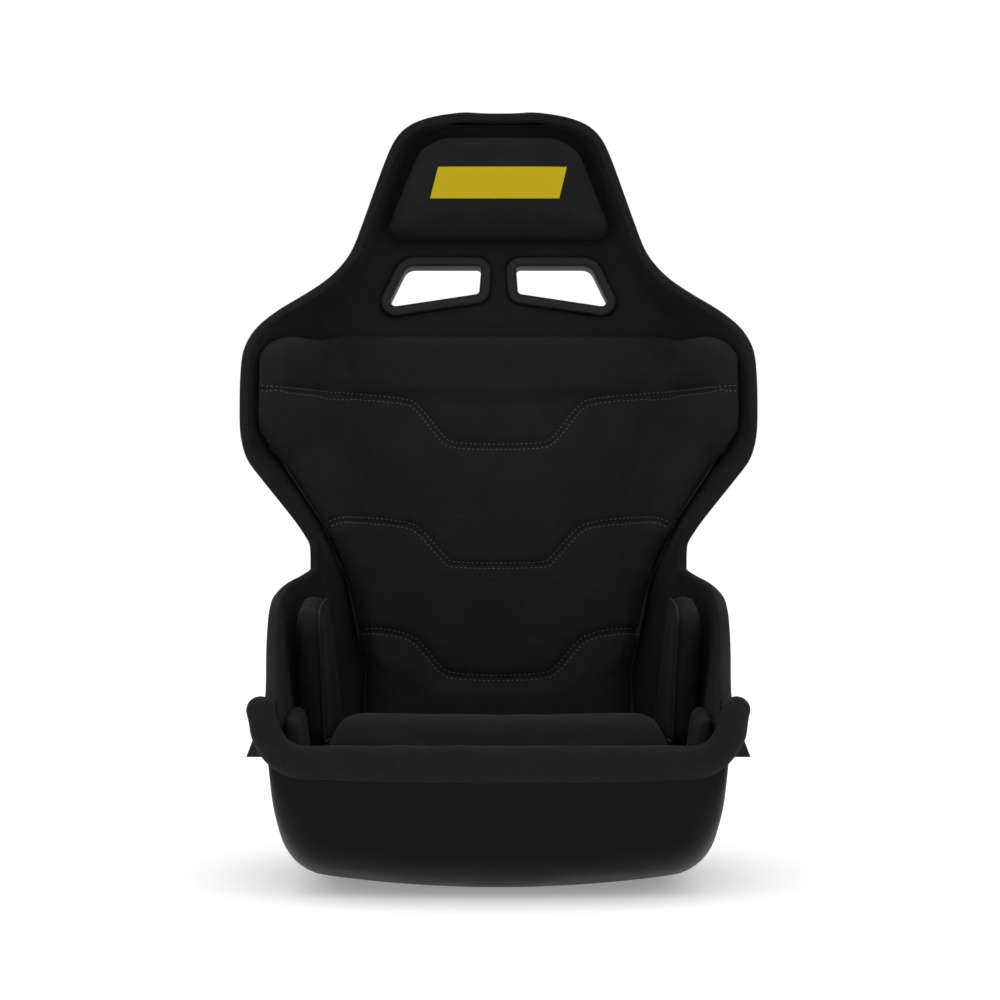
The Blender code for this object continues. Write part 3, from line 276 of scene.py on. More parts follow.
def smoothColumns(rows):
    # a cubic through each column that never overshoots
    rows = np.asarray(rows, float)
    slope = np.diff(rows, axis=0)
    tangent = np.zeros_like(rows)
    tangent[0], tangent[-1] = slope[0], slope[-1]
    sameWay = slope[:-1] * slope[1:] > 0
    before = np.where(sameWay, slope[:-1], 1.0)
    after = np.where(sameWay, slope[1:], 1.0)
    tangent[1:-1] = np.where(sameWay, 2 / (1 / before + 1 / after), 0.0)

    def at(position):
        position = min(max(position, 0.0), len(rows) - 1.0)
        k = min(int(position), len(rows) - 2)
        t = position - k
        return (
            rows[k] * (2 * t**3 - 3 * t**2 + 1) + tangent[k] * (t**3 - 2 * t**2 + t)
            + rows[k + 1] * (3 * t**2 - 2 * t**3) + tangent[k + 1] * (t**3 - t**2)
        )

    return at


bows = list(frontBow) + [0.0] * (len(stations) - len(frontBow))
rises = list(frontRise) + [0.0] * (len(stations) - len(frontRise))
stationAt = smoothColumns([row + pair for row, pair in zip(stations, zip(bows, rises))])


class Section:
    def __init__(self, station):
        y, z, rimY, rimZ, self.rim, corner, radius, self.bow, self.rise = map(
            float, stationAt(station)
        )
        self.y, self.z = y - shiftBack, z
        forward = self.reach = math.hypot(rimY - y, rimZ - z)
        self.fy, self.fz = (rimY - y) / forward, (rimZ - z) / forward
        run = self.rim - corner
        self.angle = math.atan2(forward, run)
        setback = radius * math.tan(self.angle / 2)
        self.flat = corner - setback
        self.arc = radius * self.angle
        self.radius = radius
        self.length = self.flat + self.arc + math.hypot(run, forward) - setback

    def point(self, distance):
        side = -1 if distance < 0 else 1
        a = abs(distance)
        if a <= self.flat:
            x, f = a, 0.0
        elif a <= self.flat + self.arc:
            turn = (a - self.flat) / self.radius
            x = self.flat + self.radius * math.sin(turn)
            f = self.radius * (1 - math.cos(turn))
        else:
            rest = a - self.flat - self.arc
            x = self.flat + self.radius * math.sin(self.angle) + rest * math.cos(self.angle)
            f = self.radius * (1 - math.cos(self.angle)) + rest * math.sin(self.angle)
        out = (x / self.rim) ** 2
        bowed = self.bow * max(0.0, 1 - out)
        risen = self.rise * out * (1 - f / self.reach)
        return Vector((side * x, self.y + self.fy * f - bowed, self.z + self.fz * f + risen))


@functools.lru_cache(maxsize=40000)
def section(station):
    return Section(station)


def surfaceNormal(station, distance):
    low, high = max(station - 0.02, 0.0), min(station + 0.02, float(last))
    along = section(round(high, 4)).point(distance) - section(round(low, 4)).point(distance)
    here = section(round(station, 4))
    across = here.point(distance + 0.0005) - here.point(distance - 0.0005)
    return across.cross(along).normalized()


def surfacePoint(station, distance, height=0.0):
    base = section(round(station, 4)).point(distance)
    if height == 0.0:
        return base
    return base + surfaceNormal(station, distance) * height


def distanceAtHeight(station, z):
    here = section(round(station, 4))
    places = np.linspace(here.flat, here.length, 60)
    return float(np.interp(z, [here.point(a).z for a in places], places))


def stationAtHeight(z):
    places = np.linspace(9.0, last, 500)
    return float(np.interp(z, [stationAt(p)[1] for p in places], places))


# making pieces


def smoothPiece(name, bm, material, body="seat", sharp=None):
    bmesh.ops.recalc_face_normals(bm, faces=bm.faces)
    data = bpy.data.meshes.new(name)
    bm.to_mesh(data)
    bm.free()
    data.materials.append(material)
    data.shade_smooth()
    if sharp:
        data.set_sharp_from_angle(angle=math.radians(sharp))
    made = bpy.data.objects.new(name, data)
    bpy.context.scene.collection.objects.link(made)
    if body:
        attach(made, body)
    return made


def gridOver(rows, columns, at):
    # a flat grid whose corners are then moved to at(u, v), both from 0 to 1
    bm = bmesh.new()
    bmesh.ops.create_grid(bm, x_segments=columns, y_segments=rows, size=0.5)
    for v in bm.verts:
        v.co = at(v.co.y + 0.5, v.co.x + 0.5)
    return bm


def grownOutline(corners, radii, grow, steps):
    # a counter-clockwise outline with its sides moved out and its corners rounded
    count = len(corners)
    moved = []
    for k in range(count):
        before, here, after = (Vector(corners[(k + j) % count]) for j in (-1, 0, 1))
        into, out = (here - before).normalized(), (after - here).normalized()
        normalIn, normalOut = Vector((into.y, -into.x)), Vector((out.y, -out.x))
        moved.append(here + (normalIn + normalOut) / (1 + normalIn.dot(normalOut)) * grow)
    outline = []
    for k in range(count):
        before, here, after = moved[k - 1], moved[k], moved[(k + 1) % count]
        into, out = (here - before).normalized(), (after - here).normalized()
        turn = math.acos(max(-1.0, min(1.0, into.dot(out))))
        radius = radii[k] + grow
        start = here - into * radius * math.tan(turn / 2)
        centre = start + Vector((-into.y, into.x)) * radius
        for j in range(steps + 1):
            outline.append(centre + Matrix.Rotation(turn * j / steps, 2) @ (start - centre))
    return outline


class Place:
    def __init__(self, origin, along, normal):
        self.origin = origin
        self.normal = normal.normalized()
        self.along = (along - self.normal * along.dot(self.normal)).normalized()
        self.up = self.normal.cross(self.along)

    def point(self, flat, height):
        return self.origin + self.along * flat[0] + self.up * flat[1] + self.normal * height

    def local(self, p):
        away = p - self.origin
        return away.dot(self.along), away.dot(self.up), away.dot(self.normal)


def ringSolid(name, place, corners, radii, profile, material, steps=9):
    bm = bmesh.new()
    rings = []
    for grow, height in profile:
        outline = grownOutline(corners, radii, grow, steps)
        rings.append([bm.verts.new(place.point(p, height)) for p in outline])
    loops = [[bm.edges.new(pair) for pair in zip(r, r[1:] + r[:1])] for r in rings]
    for low, high in zip(loops, loops[1:] + loops[:1]):
        bmesh.ops.bridge_loops(bm, edges=low + high)
    return smoothPiece(name, bm, material, sharp=50)


def sweep(name, frames, profileAt, material, body="seat", closed=False, sharp=None):
    # rings of (out, normal) offsets along frames of (point, out, normal)
    bm = bmesh.new()
    loops = []
    for k, (point, out, normal) in enumerate(frames):
        ring = [bm.verts.new(point + out * d + normal * n)
                for d, n in profileAt(k / (len(frames) - 1))]
        loops.append([bm.edges.new(pair) for pair in zip(ring, ring[1:] + ring[:1])])
    for low, high in zip(loops, loops[1:]):
        bmesh.ops.bridge_loops(bm, edges=low + high)
    if closed:
        bmesh.ops.bridge_loops(bm, edges=loops[-1] + loops[0])
    else:
        bmesh.ops.holes_fill(bm, edges=[e for e in bm.edges if e.is_boundary], sides=0)
    return smoothPiece(name, bm, material, body, sharp)


def framesAlong(points, normals):
    frames = []
    for k, point in enumerate(points):
        run = points[min(k + 1, len(points) - 1)] - points[max(k - 1, 0)]
        normal = normals[k] - run * (normals[k].dot(run) / run.length_squared)
        normal.normalize()
        frames.append((point, run.cross(normal).normalized(), normal))
    return frames


def inside(flat, outline):
    x, y = flat
    found = False
    for a, b in zip(outline, outline[1:] + outline[:1]):
        if (a.y > y) != (b.y > y) and x < (b.x - a.x) * (y - a.y) / (b.y - a.y) + a.x:
            found = not found
    return found


# strap slots
slots = {
    "harnessCorners": ((0.0225, 0.6232), (0.1285, 0.6070), (0.1054, 0.6554), (0.0200, 0.6554)),
    "harnessRadii": (0.005, 0.006, 0.014, 0.005),
    "harnessZ": 0.632,
    "beltSize": (0.062, 0.024),
    "beltStation": 6.55,
    "beltZ": 0.110,
    "crotchSize": (0.070, 0.026),
    "crotchY": -0.080,
    "bezelWidth": 0.0128,
    "bezelHeight": 0.0068,
}


def boxCorners(width, height):
    w, h = width / 2, height / 2
    return ((-w, -h), (w, -h), (w, h), (-w, h))


def harnessSlot(sign):
    station = stationAtHeight(slots["harnessZ"])
    normal = surfaceNormal(station, 0.0)
    lean = math.cos(math.asin(normal.z))
    corners = [(sign * x, (z - slots["harnessZ"]) / lean) for x, z in slots["harnessCorners"]]
    radii = list(slots["harnessRadii"])
    if sign < 0:
        corners, radii = corners[::-1], radii[::-1]
    return Place(surfacePoint(station, 0.0), Vector((1, 0, 0)), normal), corners, radii


def beltSlot(sign):
    station = slots["beltStation"]
    reach = distanceAtHeight(station, slots["beltZ"])
    flip = Matrix.Diagonal((sign, 1, 1))
    place = Place(flip @ surfacePoint(station, reach), Vector((0, 1, 0.15)),
                  flip @ surfaceNormal(station, reach))
    return place, boxCorners(*slots["beltSize"]), (0.010,) * 4


def crotchSlot():
    station = float(np.interp(slots["crotchY"], [stationAt(s)[0] for s in (4, 5, 6)], (4, 5, 6)))
    place = Place(surfacePoint(station, 0), Vector((1, 0, 0)), Vector((0, 0, 1)))
    return place, boxCorners(*slots["crotchSize"]), (0.008,) * 4


openSlots = [harnessSlot(-1), harnessSlot(1), beltSlot(-1), beltSlot(1), crotchSlot()]
slotMargin = 0.0035
# overSlot measures x from the middle, so the slot at +x stands for both of its pair
slotOutlines = [(p, grownOutline(c, r, slotMargin, 6)) for p, c, r in openSlots[1::2] + openSlots[4:]]


def overSlot(point):
    point = Vector((abs(point.x), point.y, point.z))
    for place, outline in slotOutlines:
        a, b, h = place.local(point)
        if abs(h) < 0.03 and inside((a, b), outline):
            return True
    return False


def roundBead(inner, width, height, base, steps=10):
    points = [(inner, base + height * 0.35)]
    for k in range(1, steps):
        turn = math.pi * k / steps
        rise = math.sin(turn) ** 0.75
        points.append((inner + width * (1 - math.cos(turn)) / 2, base + height * (0.18 + 0.82 * rise)))
    return points + [(inner + width, base + height * 0.12), (inner + width, base)]


beltBezelWidth = 0.0085
bezelLift = {"harness": 0.0004, "belt": 0.0022}


def bezelPair(name, slot, side, width, lift):
    place, corners, radii = slot
    face = liningTop + lift
    back = -wall - lift
    high = slots["bezelHeight"]
    end = back - high * 0.6
    front = [(0.0, end)] + roundBead(0.0, width, high, face) + [(0.002, face), (0.002, end)]
    made = ringSolid(f"{name}Bezel_{side}", place, corners, radii, front, bezelPlastic)
    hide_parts(f"{name}_bezel_{side}")
    rear = [(grow, 2 * back - height) for grow, height in roundBead(0.0025, width - 0.0025, high, back)]
    ring = ringSolid(f"{name}RearRing_{side}", place, corners, radii, [(0.0025, back)] + rear,
                     bezelPlastic)
    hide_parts(f"{name}_rear_ring_{side}")


for k, side in enumerate(("left", "right")):
    bezelPair("harness", openSlots[k], side, slots["bezelWidth"], bezelLift["harness"])
    bezelPair("belt", openSlots[2 + k], side, beltBezelWidth, bezelLift["belt"])
print("slots framed")

# shell and lining
shellGrid = {"rowsPerStation": 6, "columns": 96, "liningStart": 2.9, "liningMargin": 0.0018}


headRelax = {"above": 0.76, "passes": 24, "factor": 0.5}
liningThick = 0.0025


def sheetOver(name, first, final, margin, height, thickness, material):
    rows = int((final - first) * shellGrid["rowsPerStation"])

    def at(u, v):
        station = first + (final - first) * u
        reach = section(round(station, 4)).length - margin
        return surfacePoint(station, (2 * v - 1) * reach, height)

    bm = gridOver(rows, shellGrid["columns"], at)
    hidden = [f for f in bm.faces if overSlot(f.calc_center_median())]
    bmesh.ops.delete(bm, geom=hidden, context="FACES")
    bmesh.ops.recalc_face_normals(bm, faces=bm.faces)
    middle = min(bm.faces, key=lambda f: (f.calc_center_median() - surfacePoint(16, 0)).length)
    if middle.normal.y > 0:
        bmesh.ops.reverse_faces(bm, faces=bm.faces)
    bm.normal_update()
    grown = bmesh.ops.solidify(bm, geom=bm.faces[:], thickness=thickness)["geom"]
    # the wall turns tightly round the top of the head: relax its rear face there
    tight = [v for v in grown if isinstance(v, bmesh.types.BMVert) and v.co.z > headRelax["above"]]
    for _ in range(headRelax["passes"]):
        bmesh.ops.smooth_vert(bm, verts=tight, factor=headRelax["factor"], use_axis_x=True, use_axis_y=True,
                              use_axis_z=True)
    return smoothPiece(name, bm, material, sharp=60)


shell = sheetOver("shell", 0.0, float(last), 0.0, 0.0, wall, gelcoat)
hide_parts("seat_shell")
lining = sheetOver("lining", shellGrid["liningStart"], last - 0.6, shellGrid["liningMargin"],
                   liningTop, liningThick, liningKnit)
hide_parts("shell_liner")
print("shell and lining made")

# edge trim
trim = {"leg": 0.0060, "wall": 0.0028, "start": 2.3, "bulge": 0.0030,
        "pointPasses": 6, "normalPasses": 14}


def rimFrames():
    count = int((last - trim["start"]) * 8)
    places = [trim["start"] + (last - trim["start"]) * k / count for k in range(count + 1)]
    points, normals = [], []
    for station in places:
        reach = section(round(station, 4)).length
        points.append(surfacePoint(station, reach, -wall / 2))
        normals.append(surfaceNormal(station, reach))
    top = section(float(last)).length
    share = [-k / 8 for k in range(-7, 8)]
    points += [surfacePoint(last, s * top, -wall / 2) for s in share]
    normals += [surfaceNormal(last, s * top) for s in share]
    flip = Matrix.Diagonal((-1, 1, 1))
    half = len(places)
    points += [flip @ p for p in reversed(points[:half])]
    normals += [flip @ n for n in reversed(normals[:half])]
    for _ in range(trim["pointPasses"]):
        eased = [(a + 2 * p + b) / 4 for a, p, b in zip(points, points[1:], points[2:])]
        points = points[:1] + eased + points[-1:]
    for _ in range(trim["normalPasses"]):
        between = [(a + 2 * n + b).normalized() for a, n, b in zip(normals, normals[1:], normals[2:])]
        normals = [normals[0]] + between + [normals[-1]]
    return framesAlong(points, normals)


def trimProfile(_):
    inner = wall / 2 + 0.0003
    outer = inner + trim["wall"]
    crown = []
    for k in range(9):
        turn = math.pi * k / 8 - math.pi / 2
        crown.append((trim["bulge"] * math.cos(turn), outer * math.sin(turn)))
    legs = [(-trim["leg"], inner), (0.0003, inner), (0.0003, -inner), (-trim["leg"], -inner)]
    return legs + [(-trim["leg"], -outer + 0.0006)] + crown + [(-trim["leg"], outer - 0.0006)]


edgeTrim = sweep("edgeTrim", rimFrames(), trimProfile, liningKnit, sharp=75)
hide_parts("edge_trim")
print("trim made")

# front lip
lip = {"standOut": 0.012, "middle": 0.0180, "tip": 0.0138, "steps": 190, "around": 24, "puckers": 0.0005}


def lipFrames():
    reach = section(0.0).length
    places = [reach * (2 * k / lip["steps"] - 1) for k in range(lip["steps"] + 1)]
    points = [surfacePoint(0, a, -wall / 2) for a in places]
    for point in points:
        # the roll stands out past the laminate at the sides
        point.x *= 1 + lip["standOut"] * abs(point.x / 0.22) ** 6
    frames = framesAlong(points, [surfaceNormal(0, a) for a in places])
    # domed tips: more rings past each end, on the end's own frame
    for end, towards in ((0, points[0] - points[1]), (-1, points[-1] - points[-2])):
        point, out, normal = frames[end]
        extra = [(point + towards.normalized() * lip["tip"] * math.sin(math.radians(t)), out, normal)
                 for t in range(9, 90, 9)]
        frames = extra[::-1] + frames if end == 0 else frames + extra
    return frames


def lipProfile(share):
    count = lip["steps"] + 1 + 18
    k = share * (count - 1)
    beyond = max(0.0, 9 - k, k - (count - 10))
    inTube = min(max((k - 9) / lip["steps"], 0.0), 1.0)
    away = abs(2 * inTube - 1)
    radius = lip["middle"] + (lip["tip"] - lip["middle"]) * away**3
    radius *= math.cos(math.radians(9 * beyond))
    made = []
    for j in range(lip["around"]):
        turn = 2 * math.pi * j / lip["around"]
        ripple = noise.noise(Vector((k * 0.12, math.cos(turn) * 1.3, math.sin(turn) * 1.3)))
        r = max(radius + ripple * lip["puckers"] * 2, 0.0004)
        made.append((-r * math.cos(turn), r * math.sin(turn)))
    return made


frontLip = sweep("frontLip", lipFrames(), lipProfile, coverKnit)
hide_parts("lip_cover", "lip_foam", "lip_end_left", "lip_end_right")
print("lip made")

# cushions


def cornerPull(position, length, low, high):
    for edge, radius in ((position, low), (length - position, high)):
        if edge < radius:
            rest = radius - edge
            return radius - math.sqrt(max(radius * radius - rest * rest, 0.0))
    return 0.0


class Cushion:
    def __init__(self, at, length, half, corners, thickness, base, edge):
        self.at, self.length, self.half = at, length, half
        self.low, self.high = corners
        self.thickness, self.base, self.edge = thickness, base, edge

    def reach(self, along):
        return self.half(along) - cornerPull(along, self.length, self.low, self.high)

    def height(self, along, across):
        # rises steeply from the outline and is then almost flat
        thick = self.thickness(along) if callable(self.thickness) else self.thickness
        side = max(self.reach(along) - abs(across), 0.0)
        end = max(min(along, self.length - along), 0.0)
        away = side * end / max((side**3 + end**3) ** (1 / 3), 1e-6)
        near = min(away / self.edge, 1.0)
        grow = math.sqrt(max(1 - (1 - near) ** 2, 0.0))
        return self.base + (thick - self.base) * grow

    def spot(self, u, v, over=None):
        u, v = (self.ease(t) for t in (u, v))
        along = self.length * u
        across = self.reach(along) * (2 * v - 1)
        high = self.height(along, across) if over is None else over
        return self.at(along, across, high)

    @staticmethod
    def ease(t):
        # rows and columns gather towards the outline
        s = 2 * t - 1
        s = math.copysign(1 - (1 - abs(s)) ** 1.6, s)
        return (s + 1) / 2


def cushionForm(shape, rows, columns):
    bm = gridOver(rows, columns, lambda u, v: shape.spot(u, v))
    upper = bm.faces[:]
    low = gridOver(rows, columns, lambda u, v: shape.spot(u, v, shape.base))
    spare = bpy.data.meshes.new("spare")
    low.to_mesh(spare)
    low.free()
    bm.from_mesh(spare)
    bpy.data.meshes.remove(spare)
    under = [f for f in bm.faces if f not in set(upper)]
    bmesh.ops.reverse_faces(bm, faces=under)
    bmesh.ops.remove_doubles(bm, verts=bm.verts, dist=0.0002)
    return bm


simulation = {"voxel": 0.0055, "frames": 18, "pressure": 4.0}


def evaluatedPoints(piece):
    graph = bpy.context.evaluated_depsgraph_get()
    data = piece.evaluated_get(graph).to_mesh()
    points = np.empty(len(data.vertices) * 3)
    data.vertices.foreach_get("co", points)
    return points.reshape(-1, 3)


def applied(piece):
    graph = bpy.context.evaluated_depsgraph_get()
    data = bpy.data.meshes.new_from_object(piece.evaluated_get(graph))
    old = piece.data
    piece.modifiers.clear()
    piece.data = data
    bpy.data.meshes.remove(old)


def puffUp(piece, holds, cap, pressure=None):
    # even skin first, then air pressure between the held lines, as stuffing pushes the cover out
    remesh = piece.modifiers.new("evenSkin", "REMESH")
    remesh.mode = "VOXEL"
    remesh.voxel_size = simulation["voxel"]
    remesh.use_smooth_shade = True
    applied(piece)
    rest = np.array([v.co[:] for v in piece.data.vertices])
    held = piece.vertex_groups.new(name="held")
    for k, weight in enumerate(holds(rest)):
        held.add([k], float(weight), "REPLACE")
    cloth = piece.modifiers.new("cover", "CLOTH")
    settings = cloth.settings
    settings.quality = 4
    settings.mass = 0.3
    settings.tension_stiffness = settings.compression_stiffness = 12
    settings.shear_stiffness = 6
    settings.bending_stiffness = 0.4
    settings.use_pressure = True
    settings.uniform_pressure_force = pressure or simulation["pressure"]
    settings.vertex_group_mass = "held"
    settings.effector_weights.gravity = 0.0
    cloth.collision_settings.use_collision = False
    cloth.point_cache.frame_start = 1
    cloth.point_cache.frame_end = simulation["frames"]
    scene = bpy.context.scene
    for number in range(1, simulation["frames"] + 1):
        scene.frame_set(number)
    after = evaluatedPoints(piece)
    scene.frame_set(1)
    moved = after - rest
    far = np.linalg.norm(moved, axis=1, keepdims=True)
    moved *= np.minimum(1.0, cap / np.maximum(far, 1e-9))
    piece.modifiers.clear()
    piece.vertex_groups.clear()
    piece.data.vertices.foreach_set("co", (rest + moved).ravel())
    piece.data.update()


def finer(piece, relax=4):
    soften = piece.modifiers.new("relax", "SMOOTH")
    soften.factor = 0.5
    soften.iterations = relax
    fine = piece.modifiers.new("fine", "SUBSURF")
    fine.levels = fine.render_levels = 1
    applied(piece)
    piece.data.shade_smooth()


def sinkAlong(piece, lines, depth, width, front):
    # presses a sewn line into the cover; front says which vertices it may touch
    points = np.array([v.co[:] for v in piece.data.vertices])
    normals = np.array([v.normal[:] for v in piece.data.vertices])
    near = np.full(len(points), 1e9)
    for line in lines:
        for a, b in zip(line, line[1:]):
            a, b = np.array(a), np.array(b)
            t = np.clip(((points - a) @ (b - a)) / max((b - a) @ (b - a), 1e-12), 0, 1)
            near = np.minimum(near, np.linalg.norm(points - (a + t[:, None] * (b - a)), axis=1))
    press = depth * np.exp(-((near / width) ** 2)) * front(points, normals)
    points -= normals * press[:, None]
    piece.data.vertices.foreach_set("co", points.ravel())
    piece.data.update()


def treeOf(piece):
    data = piece.data
    return BVHTree.FromPolygons([v.co[:] for v in data.vertices],
                                [p.vertices[:] for p in data.polygons])


def evenly(line, gap):
    # points at even distances along a line, each with its direction
    lengths = np.cumsum([0.0] + [(b - a).length for a, b in zip(line, line[1:])])
    count = max(int(lengths[-1] / gap), 2)
    made = []
    for k in range(count):
        d = lengths[-1] * (k + 0.5) / count
        j = min(int(np.searchsorted(lengths, d)), len(line) - 1)
        a, b = line[j - 1], line[j]
        t = (d - lengths[j - 1]) / max(lengths[j] - lengths[j - 1], 1e-9)
        made.append((a.lerp(b, t), (b - a).normalized()))
    return made


stitch = {"length": 0.0034, "gap": 0.0052, "thick": 0.00045, "proud": 0.00010}


def sewRows(name, piece, rows, body):
    # each stitch is a small rounded bar lying on the cover
    tree = treeOf(piece)
    bm = bmesh.new()
    for line in rows:
        for point, run in evenly(line, stitch["gap"]):
            spot, normal, _, _ = tree.find_nearest(point)
            if spot is None:
                continue
            run = (run - normal * run.dot(normal)).normalized()
            side = normal.cross(run)
            turn = Matrix((run, side, normal)).transposed().to_4x4()
            move = Matrix.Translation(spot + normal * stitch["proud"])
            size = Matrix.Diagonal((stitch["length"] / 2, stitch["thick"] * 1.3, stitch["thick"], 1))
            bmesh.ops.create_icosphere(bm, subdivisions=1, radius=1.0, matrix=move @ turn @ size)
    made = smoothPiece(name, bm, threadGrey, body)
    return made


def rounded(points, steps=5):
    # a polyline with its corners eased
    for _ in range(steps // 2):
        eased = [points[0]]
        for a, b in zip(points, points[1:]):
            eased += [a.lerp(b, 0.25), a.lerp(b, 0.75)]
        points = eased + [points[-1]]
    return points


def alongTheBack(first, final):
    places = np.linspace(first, final, 200)
    middles = [section(round(float(p), 4)).point(0.0) for p in places]
    lengths = np.cumsum([0.0] + [(b - a).length for a, b in zip(middles, middles[1:])])
    return (lambda along: float(np.interp(along, lengths, places))), float(lengths[-1])


# back cushion: three sewn channels, each a double row that drops to a level middle
back = {
    "bottom": 9.9, "top": 21.35, "thick": 0.034, "edge": 0.016, "base": 0.0080,
    "borderShoulder": 0.004, "borderWaist": 0.024, "halfLow": 0.160, "corners": (0.012, 0.036),
    "rowGap": 0.0030, "sink": 0.0034, "sinkWidth": 0.0062,
    "channels": (
        ((-0.262, 0.5100), (-0.1055, 0.5005), (-0.0900, 0.4900), (-0.0638, 0.4550), (-0.0500, 0.4468)),
        ((-0.186, 0.3600), (-0.1720, 0.3665), (-0.1035, 0.3602), (-0.0878, 0.3523), (-0.0598, 0.3199),
         (-0.0520, 0.3137)),
        ((-0.170, 0.2340), (-0.1460, 0.2438), (-0.0982, 0.2360), (-0.0816, 0.2194), (-0.0672, 0.2005),
         (-0.0500, 0.1900)),
    ),
}


def backShape():
    toStation, length = alongTheBack(back["bottom"], back["top"])

    def half(along):
        station = toStation(along)
        shoulder = min(max((station - 16.5) / 1.5, 0.0), 1.0)
        border = back["borderWaist"] + (back["borderShoulder"] - back["borderWaist"]) * shoulder
        rise = min(max((station - 11.5) / 2.5, 0.0), 1.0)
        rise = rise * rise * (3 - 2 * rise)
        wide = section(round(station, 4)).length
        return back["halfLow"] + (wide - border - back["halfLow"]) * rise

    return Cushion(
        lambda along, across, height: surfacePoint(toStation(along), across, height),
        length, half, back["corners"], back["thick"], back["base"], back["edge"],
    )


def frontLine(flat, offset, tree):
    # a channel as a line on the cover: mirrored, shifted up or down, and dropped onto the face
    half = [Vector((x, z)) for x, z in flat]
    whole = half + [Vector((-p.x, p.y)) for p in reversed(half)]
    whole = rounded(whole)
    made = []
    for k, p in enumerate(whole):
        run = (whole[min(k + 1, len(whole) - 1)] - whole[max(k - 1, 0)]).normalized()
        q = p + Vector((-run.y, run.x)) * offset
        spot = tree.ray_cast(Vector((q.x, -0.6, q.y)), Vector((0, 1, 0)))[0]
        if spot is not None:
            made.append(spot)
    return made


def facing(points, normals):
    return np.clip(-normals[:, 1] * 1.6, 0, 1)


backForm = backShape()
backCushion = smoothPiece("backCushion", cushionForm(backForm, 70, 80), coverKnit)
draftTree = treeOf(backCushion)
draftLines = [frontLine(c, 0.0, draftTree) for c in back["channels"]]


def backHolds(points):
    # the channels stay put
    near = np.full(len(points), 1e9)
    for line in draftLines:
        for a, b in zip(line, line[1:]):
            a, b = np.array(a), np.array(b)
            t = np.clip(((points - a) @ (b - a)) / max((b - a) @ (b - a), 1e-12), 0, 1)
            near = np.minimum(near, np.linalg.norm(points - (a + t[:, None] * (b - a)), axis=1))
    return np.where(near < 0.007, 1.0, 0.0)


puffUp(backCushion, backHolds, 0.006)
finer(backCushion)
tree = treeOf(backCushion)
backLines = [frontLine(c, 0.0, tree) for c in back["channels"]]
sinkAlong(backCushion, backLines, back["sink"], back["sinkWidth"], facing)
tree = treeOf(backCushion)
rows = [frontLine(c, s * back["rowGap"], tree) for c in back["channels"] for s in (-1, 1)]
sewRows("backStitches", backCushion, rows, "seat")
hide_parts("back_cushion_cover", "back_cushion_foam")
print("back cushion made")

# head cushion, with the plain badge
head = {
    "bottomZ": 0.682, "topZ": 0.810, "halfBottom": 0.1345, "halfTop": 0.0860,
    "corners": (0.022, 0.034), "thick": 0.040, "edge": 0.016, "base": 0.0136,
    "badgeZ": (0.7335, 0.7709), "badgeHalf": 0.0742, "badgeSlant": 0.0045, "badgeProud": 0.0010,
}


def headShape():
    toStation, length = alongTheBack(stationAtHeight(head["bottomZ"]), stationAtHeight(head["topZ"]))

    def at(along, across, height):
        station = toStation(along)
        flat = min(abs(across), section(round(station, 4)).flat * 0.9)
        point = surfacePoint(station, flat, height)
        point.x = across
        return point

    def half(along):
        return head["halfBottom"] + (head["halfTop"] - head["halfBottom"]) * along / length

    return Cushion(at, length, half, head["corners"], head["thick"], head["base"], head["edge"])


headForm = headShape()
headCushion = smoothPiece("headCushion", cushionForm(headForm, 50, 70), coverKnit, "head_cushion")
puffUp(headCushion, lambda p: np.where(p[:, 1] > p[:, 1].max() - 0.03, 0.6, 0.0), 0.004)
finer(headCushion)
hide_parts("head_cushion_cover", "head_cushion_foam")


def makeBadge():
    tree = treeOf(headCushion)
    low, high = head["badgeZ"]

    def at(u, v):
        z = low + (high - low) * u
        x = (2 * v - 1) * head["badgeHalf"] + head["badgeSlant"] * (2 * u - 1)
        spot = tree.ray_cast(Vector((x, -0.6, z)), Vector((0, 1, 0)))[0]
        return spot + Vector((0, -head["badgeProud"], 0))

    bm = gridOver(12, 40, at)
    bmesh.ops.recalc_face_normals(bm, faces=bm.faces)
    if bm.faces[:][0].normal.y > 0:
        bmesh.ops.reverse_faces(bm, faces=bm.faces)
    bm.normal_update()
    bmesh.ops.solidify(bm, geom=bm.faces[:], thickness=0.0016)
    made = smoothPiece("badge", bm, wovenYellow, "head_cushion", sharp=40)
    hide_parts("head_badge")


makeBadge()
print("head cushion made")

# hip and thigh cushions, with piping round the inner faces of the hips
sides = {
    "hip": {"stations": (6.10, 9.35), "thick": 0.0325, "corners": (0.022, 0.022), "edge": 0.010,
            "base": 0.0070, "topBorder": 0.0075, "bottomZ": 0.120, "wedge": 0.0130},
    "thigh": {"stations": (3.45, 5.75), "thick": 0.0185, "corners": (0.014, 0.014), "edge": 0.012,
              "base": 0.0070, "topZ": 0.174, "bottomZ": 0.075, "wedge": 0.0},
    "piping": 0.0010,
}


def sideShape(values, sign):
    first, final = values["stations"]

    def limits(station):
        low = distanceAtHeight(station, values["bottomZ"])
        if "topZ" in values:
            return low, distanceAtHeight(station, values["topZ"])
        return low, section(round(station, 4)).length - values["topBorder"]

    places = np.linspace(first, final, 30)
    middle = [surfacePoint(float(s), sum(limits(float(s))) / 2) for s in places]
    lengths = np.cumsum([0.0] + [(b - a).length for a, b in zip(middle, middle[1:])])

    def toStation(along):
        return float(np.interp(along, lengths, places))

    def half(along):
        low, high = limits(toStation(along))
        return (high - low) / 2

    def at(along, across, height):
        station = toStation(along)
        low, high = limits(station)
        share = min(max(0.5 + across / (high - low), 0.0), 1.0)
        point = surfacePoint(station, (low + high) / 2 + across, height + values["wedge"] * share)
        return Vector((sign * point.x, point.y, point.z))

    return Cushion(at, float(lengths[-1]), half, values["corners"], values["thick"],
                   values["base"], values["edge"])


